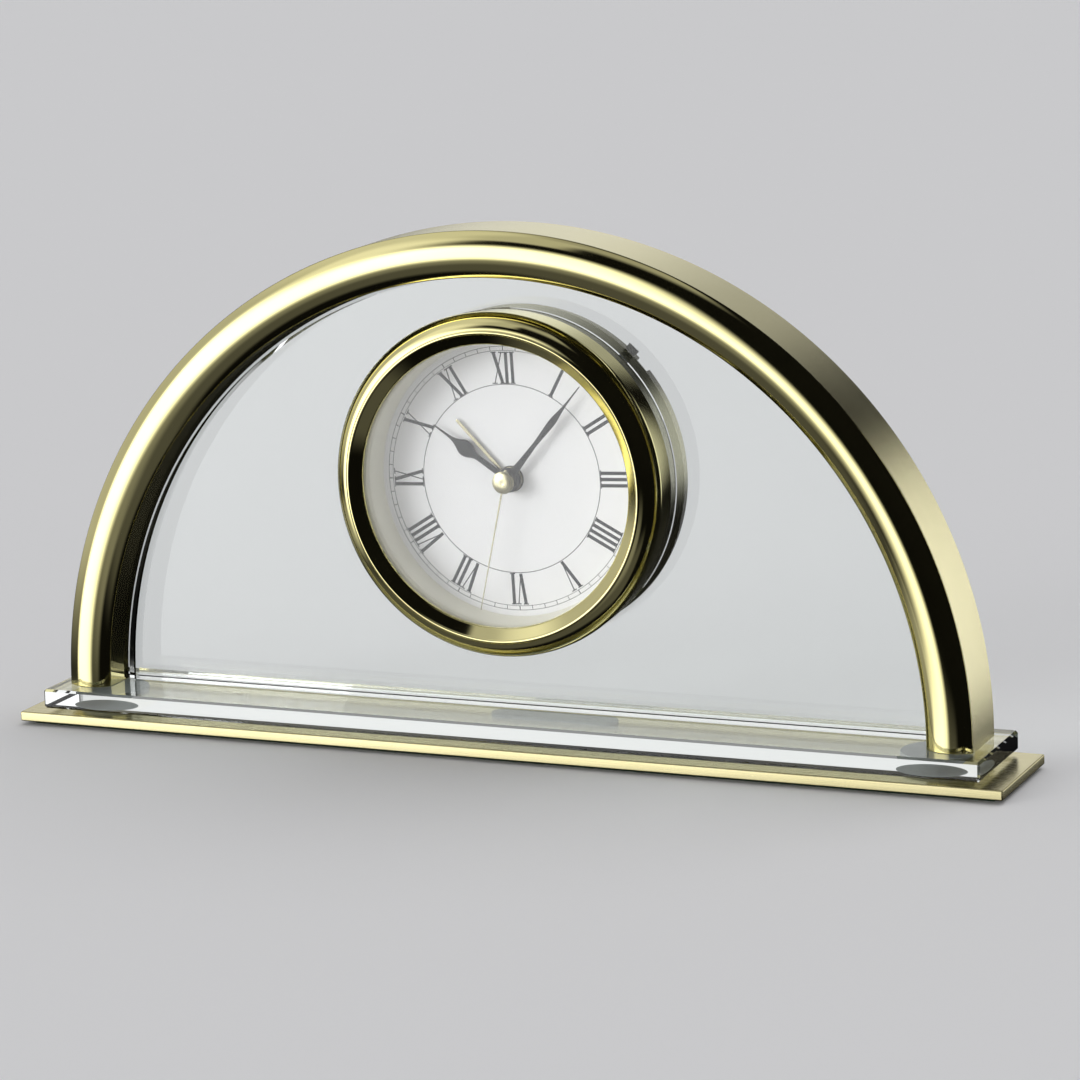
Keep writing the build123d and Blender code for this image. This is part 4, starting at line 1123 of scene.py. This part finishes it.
@dataclass
class Dial(SubAssembly):
    """Off-white dial plate with its printed circles, minute track and Roman numerals."""

    outer_radius: float = 0.0433
    hole_radius: float = 0.0035
    front: float = 0.0022
    rear: float = 0.0027
    plate_edge: float = 0.00008
    ink: float = 0.00003
    line: float = 0.00015
    inner_circle: float = 0.02525
    inner_share: float = 1.2
    track_in: float = 0.0342
    track_out: float = 0.03535
    track_share: float = 0.8
    bold_share: float = 1.6
    bold_every: int = 5
    numeral_foot: float = 0.0255
    numeral_head: float = 0.0337
    thick: float = 0.00088
    thin: float = 0.00028
    serif: float = 0.0015
    dial_turn: float = -2.5
    numerals: tuple[str, ...] = ("XII", "I", "II", "III", "IIII", "V", "VI", "VII", "VIII", "IX", "X", "XI")
    steps: int = 240

    def build(self) -> None:
        """Build and dress the plate and its print."""
        plate = turn("dial_plate", ring_outline(self.hole_radius, self.outer_radius, self.front, self.rear),
                     self.steps)
        round_edges(plate, self.plate_edge)
        smooth(plate)
        self.install(plate, "clock_body", "dial_white", ["dial"], "dial_white")
        ink = join([*self._circles(), self._ticks(), *self._numerals()], "dial_print")
        settle(ink, CLOCK_CENTRE, math.radians(self.dial_turn))
        self.install(ink, "clock_body", "dial_white", [], "dial_ink")

    def _circles(self) -> list[bpy.types.Object]:
        """Inner circle and the two circles of the minute track.

        Returns:
            The three circles about the world's Y axis.
        """
        circles = []
        for name, radius, share in (("inner", self.inner_circle, self.inner_share),
                                    ("track_in", self.track_in, self.track_share),
                                    ("track_out", self.track_out, self.track_share)):
            half = self.line * share / 2
            outline = ring_outline(radius - half, radius + half, self.front - self.ink, self.front)
            circles.append(turn(f"circle_{name}", outline, self.steps, 0.0))
        return circles

    def _stroke(self, name: str, foot: Point, head: Point, width: float) -> bpy.types.Object:
        """One printed stroke between two points of the dial.

        Args:
            name: Name of the stroke.
            foot: X and Z of its foot.
            head: X and Z of its head.
            width: Its width.

        Returns:
            The stroke.
        """
        length = math.dist(foot, head)
        stroke = blade(name, [(0.0, width / 2), (length, width / 2)], self.front - self.ink, self.ink)
        settle(stroke, (foot[0], 0.0, foot[1]), math.atan2(head[0] - foot[0], head[1] - foot[1]))
        return stroke

    def _ticks(self) -> bpy.types.Object:
        """Sixty ticks across the minute track, each fifth one thicker.

        Returns:
            All the ticks as one piece.
        """
        ends = (0.0, self.track_in), (0.0, self.track_out)
        fine = self._stroke("tick", *ends, self.line)
        bold = self._stroke("bold_tick", *ends, self.line * self.bold_share)
        ticks = []
        for minute in range(60):
            tick = copy_of(fine if minute % self.bold_every else bold, f"tick_{minute}")
            settle(tick, angle=math.radians(minute * MINUTE_ANGLE))
            ticks.append(tick)
        discard(fine, bold)
        return join(ticks, "minute_ticks")

    def _glyph(self, glyph: Glyph) -> bpy.types.Object:
        """One figure, its foot on Z = 0 and its middle on X = 0.

        Args:
            glyph: The figure.

        Returns:
            The figure as one piece.
        """
        top = self.numeral_head - self.numeral_foot
        slant = glyph.value / 2 - self.thick / 2
        if glyph is Glyph.I:
            strokes = [((0.0, 0.0), (0.0, top), self.thick)]
            ends = [(0.0, 0.0), (0.0, top)]
        elif glyph is Glyph.V:
            strokes = [((0.0, 0.0), (-slant, top), self.thick), ((0.0, 0.0), (slant, top), self.thin)]
            ends = [(-slant, top), (slant, top)]
        else:
            strokes = [((slant, 0.0), (-slant, top), self.thick), ((-slant, 0.0), (slant, top), self.thin)]
            ends = [(slant, 0.0), (-slant, 0.0), (-slant, top), (slant, top)]
        half = self.serif / 2
        strokes += [((x - half, z), (x + half, z), self.thin) for x, z in ends]
        parts = [self._stroke(f"stroke_{n}", *stroke) for n, stroke in enumerate(strokes)]
        return join(parts, f"figure_{glyph.name}")

    def _numerals(self) -> list[bpy.types.Object]:
        """Twelve numerals, heads outwards.

        Returns:
            Every figure of them in its place.
        """
        models = {glyph: self._glyph(glyph) for glyph in Glyph}
        placed = []
        for hour, text in enumerate(self.numerals):
            glyphs = [Glyph[letter] for letter in text]
            left = -sum(glyph.value for glyph in glyphs) / 2
            for number, glyph in enumerate(glyphs):
                figure = copy_of(models[glyph], f"numeral_{hour}_{number}")
                settle(figure, (left + glyph.value / 2, 0.0, self.numeral_foot))
                settle(figure, angle=math.radians(hour * HOUR_ANGLE))
                left += glyph.value
                placed.append(figure)
        discard(*models.values())
        return placed


@dataclass(frozen=True)
class Hand:
    """One hand, named after the solid that it stands for.

    Its angle is in degrees clockwise from twelve, front is the Y of its front face, and each
    station gives a height and a half width along its blade.
    """

    node: str
    body: str
    slot: str
    finish: str
    angle: float
    front: float
    boss_radius: float
    bore: float
    stations: tuple[Point, ...]


@dataclass
class Hands(SubAssembly):
    """Alarm, hour, minute and second hands with their bosses, and the cap."""

    thickness: float = 0.0003
    blade_edge: float = 0.00004
    boss_thickness: float = 0.0006
    boss_edge: float = 0.00008
    cap_radius: float = 0.0030
    cap_bore: float = 0.00067
    cap_rear: float = -0.0032
    cap_front: float = -0.0040
    cap_rim: float = 0.00045
    cap_bend_share: float = 0.72
    cap_bend: float = 0.00012
    cap_crease: float = math.radians(40.0)
    cap_arc_steps: int = 14
    steps: int = 96
    hands: tuple[Hand, ...] = (
        Hand("alarm_hand", "alarm_body", "brass_hand", "brass_hand", 315.9, 0.0010, 0.0033, 0.00215,
             ((0.0022, 0.00042), (0.02105, 0.00040), (0.02135, 0.00024))),
        Hand("hour_hand", "hour_body", "black_hand", "black_lacquer", 303.27, 0.0001, 0.0033, 0.00160,
             ((0.0020, 0.00078), (0.0095, 0.00072), (0.0109, 0.00080), (0.0117, 0.00110),
              (0.0125, 0.00160), (0.0133, 0.00198), (0.0141, 0.00217), (0.0148, 0.00220),
              (0.0155, 0.00204), (0.0162, 0.00168), (0.0169, 0.00126), (0.0176, 0.00090),
              (0.0184, 0.00060), (0.0193, 0.00040), (0.0210, 0.00028), (0.02525, 0.00016))),
        Hand("minute_hand", "minute_body", "black_hand", "black_lacquer", 39.2, -0.0009, 0.0027, 0.00095,
             ((0.0020, 0.00112), (0.0075, 0.00078), (0.0130, 0.00058), (0.0160, 0.00070),
              (0.0185, 0.00086), (0.0206, 0.00094), (0.0222, 0.00084), (0.0240, 0.00060),
              (0.0262, 0.00034), (0.0290, 0.00022), (0.0335, 0.00012))),
        Hand("second_hand", "seconds_body", "brass_hand", "brass_hand", 192.2, -0.0032, 0.0014, 0.00066,
             ((-0.0034, 0.00030), (0.0, 0.00030), (0.0040, 0.00020), (0.0200, 0.00016),
              (0.03545, 0.00010))),
    )

    def build(self) -> None:
        """Build each hand and the cap, and dress them."""
        for hand in self.hands:
            self._hand(hand)
        self._cap()

    def _hand(self, hand: Hand) -> None:
        """Blade and boss of one hand.

        Args:
            hand: The hand.
        """
        flat = blade(f"{hand.node}_blade", hand.stations, hand.front, self.thickness)
        round_edges(flat, self.blade_edge)
        outline = ring_outline(hand.bore, hand.boss_radius, hand.front, hand.front + self.boss_thickness)
        boss = turn(f"{hand.node}_boss", outline, self.steps, 0.0)
        round_edges(boss, self.boss_edge)
        whole = join([flat, boss], f"{hand.node}_piece")
        settle(whole, CLOCK_CENTRE, math.radians(hand.angle))
        smooth(whole)
        self.install(whole, hand.body, hand.slot, [hand.node], hand.finish)

    def _cap(self) -> None:
        """Domed cap over the seconds arbor."""
        dome = arc((self.cap_radius, self.cap_front + self.cap_rim),
                   (self.cap_radius * self.cap_bend_share, self.cap_front + self.cap_bend),
                   (0.0, self.cap_front), self.cap_arc_steps)
        outline = [(self.cap_bore, self.cap_rear), (self.cap_radius, self.cap_rear), *dome]
        cap = turn("hand_cap_dome", outline, self.steps)
        smooth(cap, self.cap_crease)
        self.install(cap, "seconds_body", "brass_polished", ["hand_cap"], "brass_cap")


@dataclass
class RearSide(SubAssembly):
    """What is turned by hand at the back: the two setting knobs."""

    knob_radius: float = 0.0050
    knob_front: float = 0.0187
    knob_rear: float = 0.0233
    knob_steps: tuple[Point, ...] = ((-0.0005, 1.0), (-0.00015, 0.97), (0.0, 0.90), (0.0, 0.78),
                                     (-0.0006, 0.92))
    flutes: int = 24
    flute_share: float = 0.93
    flute_width: float = 0.1
    crease: float = math.radians(35.0)
    time_place: Triple = (-0.009388, 0.0, 0.07752)
    alarm_place: Triple = (0.011726, 0.0, 0.07887)

    def build(self) -> None:
        """Build and dress the knobs."""
        for node, place, body in (("time_knob", self.time_place, "time_setter"),
                                  ("alarm_knob", self.alarm_place, "alarm_setter_body")):
            knob = self._knob(f"{node}_fluted")
            settle(knob, place)
            smooth(knob, self.crease)
            self.install(knob, body, "black_plastic", [node], "black_plastic")

    def _knob(self, name: str) -> bpy.types.Object:
        """Fluted knob with a rounded rim and a dished end.

        Args:
            name: Name of the knob.

        Returns:
            The knob about the Y axis.
        """
        clear_bench()
        bpy.ops.mesh.primitive_circle_add(vertices=self.flutes * 4, radius=self.knob_radius,
                                          fill_type="NGON", rotation=(math.pi / 2, 0.0, 0.0))
        bpy.ops.object.transform_apply(location=True, rotation=True, scale=True)
        knob = open_piece(name)
        bpy.ops.transform.translate(value=(0.0, self.knob_front, 0.0))
        step = math.tau / self.flutes

        def in_flute(point: Vector) -> bool:
            """Whether a rim vertex lies at the bottom of a flute."""
            turned = math.atan2(point.z, point.x) / step
            return abs(turned - round(turned)) < self.flute_width

        pick(knob, Element.VERTEX, in_flute)
        bpy.ops.transform.resize(value=(self.flute_share, 1.0, self.flute_share),
                                 center_override=(0.0, self.knob_front, 0.0))
        select_whole()
        depth = self.knob_front
        for past_rear, share in self.knob_steps:
            next_depth = self.knob_rear + past_rear
            extrude(0.0, next_depth - depth, 0.0)
            bpy.ops.transform.resize(value=(share, 1.0, share), center_override=(0.0, next_depth, 0.0))
            depth = next_depth
        return close_piece(knob)


@dataclass
class Inside(SubAssembly):
    """Solids that keep their own shape and only get their finish."""

    solids: tuple[tuple[str, tuple[str, ...]], ...] = (
        ("grey_foam", ("lens_gasket",)),
        ("black_plastic", ("movement_holder", "case_front", "case_back", "rear_cover", "battery_door")),
        ("bright_steel", ("case_screws", "stator", "quartz_crystal", "battery_contact_plus",
                          "battery_contact_minus", "battery_spring", "cover_screws", "alarm_switch",
                          "switch_pin")),
        ("brass_plate", ("centre_bush", "buzzer")),
        ("white_plastic", ("alarm_wheel", "alarm_setter", "hour_wheel", "cannon_pinion",
                           "minute_wheel", "seconds_wheel", "drive_wheel", "centre_wheel",
                           "third_wheel", "rotor")),
        ("copper_winding", ("coil",)),
        ("board_lacquer", ("circuit_board",)),
        ("cell_sleeve", ("battery",)),
    )

    def build(self) -> None:
        """Give each kept solid its finish."""
        for finish, nodes in self.solids:
            for node in nodes:
                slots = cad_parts[node].data.materials
                slots.clear()
                slots.append(self.shop.give(finish))
                LOG.info("%s keeps its solid, in %s", node, finish)


# Studio


@dataclass(frozen=True)
class Zone:
    """Part of the surround with a brightness of its own, as a softbox or a flag gives.

    Angles are degrees: around is 0 in front of the dial and positive to the right,
    above is 0 at the horizon.
    """

    around: Point
    above: Point
    level: float
    soft: float


@dataclass
class Studio:
    """Camera, floor, world and lamps."""

    camera_place: Triple = (0.432476, -1.001044, 0.283739)
    camera_right: Triple = (0.92256151, 0.38498694, -0.02579361)
    camera_up: Triple = (-0.05554666, 0.19866659, 0.97849177)
    camera_view: Triple = (-0.38183088, 0.9012861, -0.20466689)
    camera_clip: Point = (0.05, 50.0)
    lens: float = 140.78
    sensor: float = 36.0
    floor_radius: float = 9.0
    floor_drop: float = 0.0001
    floor_steps: int = 96
    floor_roughness: float = 0.9
    pale: Triple = (0.80, 0.80, 0.81)
    world_light: float = 0.64
    dark: float = 0.004
    key_from: Point = (-38.0, 9.0)
    key_power: float = 1.0
    key_angle: float = 26.0
    top_from: Point = (150.0, 62.0)
    top_power: float = 0.6
    top_angle: float = 50.0
    zones: tuple[Zone, ...] = (
        Zone((-108.0, 26.0), (58.0, 76.0), 0.36, 7.0),
        Zone((-118.0, -34.0), (-7.0, 62.0), 0.50, 7.0),
        Zone((-96.0, -19.0), (40.0, 64.0), 0.48, 3.0),
        Zone((-94.0, -42.0), (34.0, 66.0), 0.68, 8.0),
        Zone((-60.0, -36.0), (14.0, 44.0), 0.95, 7.0),
        Zone((-120.0, 48.0), (-58.0, -27.0), 0.08, 6.0),
        Zone((-120.0, -60.0), (-25.0, -15.0), 0.32, 3.0),
        Zone((-46.0, 18.0), (-32.0, -16.0), 0.22, 7.0),
        Zone((-63.0, -11.0), (-18.0, 22.0), 1.70, 8.0),
        Zone((-62.0, -22.0), (-14.0, 18.0), 2.50, 8.0),
        Zone((92.0, 104.0), (-14.0, 40.0), 1.20, 4.0),
        Zone((-200.0, -112.0), (26.0, 70.0), 0.30, 8.0),
        Zone((-200.0, -146.0), (0.0, 32.0), 0.42, 8.0),
        Zone((173.0, 200.0), (2.0, 34.0), 0.42, 5.0),
        Zone((-171.0, -146.0), (2.0, 28.0), 0.80, 8.0),
        Zone((141.0, 162.0), (-12.0, 16.0), 1.35, 4.0),
    )

    def build(self) -> None:
        """Set the stage."""
        self._camera()
        self._floor()
        self._world()
        self._lamp("key_lamp", self.key_from, self.key_power, self.key_angle)
        self._lamp("top_lamp", self.top_from, self.top_power, self.top_angle)
        bpy.context.scene.view_settings.view_transform = "Standard"

    def _camera(self) -> None:
        """Camera at the photograph's viewing angle."""
        data = bpy.data.cameras.new("camera")
        data.lens = self.lens
        data.sensor_width = self.sensor
        data.sensor_fit = "HORIZONTAL"
        data.clip_start, data.clip_end = self.camera_clip
        camera = bpy.data.objects.new("camera", data)
        bpy.context.scene.collection.objects.link(camera)
        turned = Matrix((self.camera_right, self.camera_up, tuple(-v for v in self.camera_view)))
        camera.matrix_world = Matrix.Translation(self.camera_place) @ turned.transposed().to_4x4()
        bpy.context.scene.camera = camera

    def _floor(self) -> None:
        """Wide plain floor, left out of reflections, also of those seen through the glass."""
        clear_bench()
        bpy.ops.mesh.primitive_circle_add(vertices=self.floor_steps, radius=self.floor_radius,
                                          fill_type="NGON", location=(0.0, 0.0, -self.floor_drop))
        floor = bpy.context.active_object
        floor.name = "studio_floor"
        material = bpy.data.materials.new("floor_paper")
        material.use_nodes = True
        tree = material.node_tree
        shader = tree.nodes["Principled BSDF"]
        shader.inputs["Base Color"].default_value = (*self.pale, 1.0)
        shader.inputs["Roughness"].default_value = self.floor_roughness
        shader.inputs["Specular IOR Level"].default_value = 0.0
        path = add_node(tree, "ShaderNodeLightPath")
        clear = add_node(tree, "ShaderNodeBsdfTransparent")
        mix = add_node(tree, "ShaderNodeMixShader")
        wire(tree,
             (path.outputs["Glossy Depth"], mix.inputs["Fac"]),
             (shader.outputs[0], mix.inputs[1]),
             (clear.outputs[0], mix.inputs[2]),
             (mix.outputs[0], tree.nodes["Material Output"].inputs["Surface"]))
        floor.data.materials.append(material)
        floor.visible_glossy = False

    def _world(self) -> None:
        """Pale surround; reflections see the softboxes and flags that stand in it."""
        world = bpy.data.worlds.new("studio")
        bpy.context.scene.world = world
        world.use_nodes = True
        tree = world.node_tree
        tree.nodes.clear()
        pale = (*self.pale, 1.0)
        output = add_node(tree, "ShaderNodeOutputWorld")
        light = add_node(tree, "ShaderNodeBackground", {"Color": pale, "Strength": self.world_light})
        seen = add_node(tree, "ShaderNodeBackground", {"Color": pale})
        mirrored = add_node(tree, "ShaderNodeBackground")
        path = add_node(tree, "ShaderNodeLightPath")
        direct = add_node(tree, "ShaderNodeMath", operation="MAXIMUM")
        bounced = add_node(tree, "ShaderNodeMath", operation="MAXIMUM")
        straight = add_node(tree, "ShaderNodeMath", operation="SUBTRACT", use_clamp=True)
        first = add_node(tree, "ShaderNodeMixShader")
        second = add_node(tree, "ShaderNodeMixShader")
        wire(tree,
             (path.outputs["Is Transmission Ray"], straight.inputs[0]),
             (path.outputs["Glossy Depth"], straight.inputs[1]),
             (path.outputs["Is Camera Ray"], direct.inputs[0]),
             (straight.outputs[0], direct.inputs[1]),
             (path.outputs["Is Glossy Ray"], bounced.inputs[0]),
             (path.outputs["Is Transmission Ray"], bounced.inputs[1]),
             (bounced.outputs[0], first.inputs["Fac"]),
             (light.outputs[0], first.inputs[1]),
             (mirrored.outputs[0], first.inputs[2]),
             (direct.outputs[0], second.inputs["Fac"]),
             (first.outputs[0], second.inputs[1]),
             (seen.outputs[0], second.inputs[2]),
             (second.outputs[0], output.inputs["Surface"]),
             (self._reflected(tree), mirrored.inputs["Color"]))

    def _reflected(self, tree: bpy.types.NodeTree) -> bpy.types.NodeSocket:
        """Brightness of the surround as a reflection sees it, by direction.

        Args:
            tree: The world's node tree.

        Returns:
            The socket with the brightness.
        """
        place = add_node(tree, "ShaderNodeTexCoord")
        split = add_node(tree, "ShaderNodeSeparateXYZ")
        wire(tree, (place.outputs["Generated"], split.inputs[0]))

        def calculate(operation: str, *values: bpy.types.NodeSocket | float) -> bpy.types.NodeSocket:
            """One step of arithmetic.

            Args:
                operation: What the Math node does.
                values: Sockets or numbers that feed it.

            Returns:
                The socket with the result.
            """
            node = add_node(tree, "ShaderNodeMath", operation=operation)
            for index, value in enumerate(values):
                if isinstance(value, float):
                    node.inputs[index].default_value = value
                else:
                    wire(tree, (value, node.inputs[index]))
            return node.outputs[0]

        def step(value: bpy.types.NodeSocket, middle: float, soft: float) -> bpy.types.NodeSocket:
            """Smooth step about a middle value.

            Args:
                value: What is measured.
                middle: Where the step is half way up.
                soft: Half its width; a negative one makes it fall.

            Returns:
                The socket with a number from 0 to 1.
            """
            node = add_node(tree, "ShaderNodeMapRange",
                            {"From Min": middle - soft, "From Max": middle + soft},
                            interpolation_type="SMOOTHSTEP")
            wire(tree, (value, node.inputs["Value"]))
            return node.outputs["Result"]

        turned = calculate("MULTIPLY", split.outputs["Y"], -1.0)
        around = calculate("DEGREES", calculate("ARCTAN2", split.outputs["X"], turned))
        above = calculate("DEGREES", calculate("ARCSINE", split.outputs["Z"]))
        level: bpy.types.NodeSocket | None = None
        for zone in self.zones:
            left = step(around, zone.around[0], zone.soft)
            right = step(around, zone.around[1], -zone.soft)
            low = step(above, zone.above[0], zone.soft)
            high = step(above, zone.above[1], -zone.soft)
            inside = calculate("MULTIPLY", calculate("MULTIPLY", left, right),
                               calculate("MULTIPLY", low, high))
            mix = add_node(tree, "ShaderNodeMix", data_type="FLOAT")
            wire(tree, (inside, mix.inputs[0]))
            mix.inputs[3].default_value = zone.level
            if level is None:
                mix.inputs[2].default_value = self.dark
            else:
                wire(tree, (level, mix.inputs[2]))
            level = mix.outputs[0]
        return level

    def _lamp(self, name: str, place: Point, power: float, spread: float) -> None:
        """Distant soft lamp.

        Args:
            name: Name of the lamp.
            place: Direction that it stands in, as around and above in degrees.
            power: Its strength.
            spread: Its width in degrees.
        """
        data = bpy.data.lights.new(name, "SUN")
        data.energy = power
        data.angle = math.radians(spread)
        lamp = bpy.data.objects.new(name, data)
        bpy.context.scene.collection.objects.link(lamp)
        around, above = (math.radians(value) for value in place)
        flat = math.cos(above)
        away = Vector((math.sin(around) * flat, -math.cos(around) * flat, math.sin(above)))
        lamp.matrix_world = Matrix.Translation(away) @ away.to_track_quat("Z", "Y").to_matrix().to_4x4()
        lamp.visible_glossy = False


def main() -> None:
    """Build the studio and the clock in order."""
    logging.basicConfig(level=logging.INFO, format="%(name)s: %(message)s")
    shop = FinishShop()
    Studio().build()
    for part in (Base, Arch, GlassPanel, ClockHead, Dial, Hands, RearSide, Inside):
        part(shop).build()
    clear_bench()


if __name__ == "__main__":
    main()
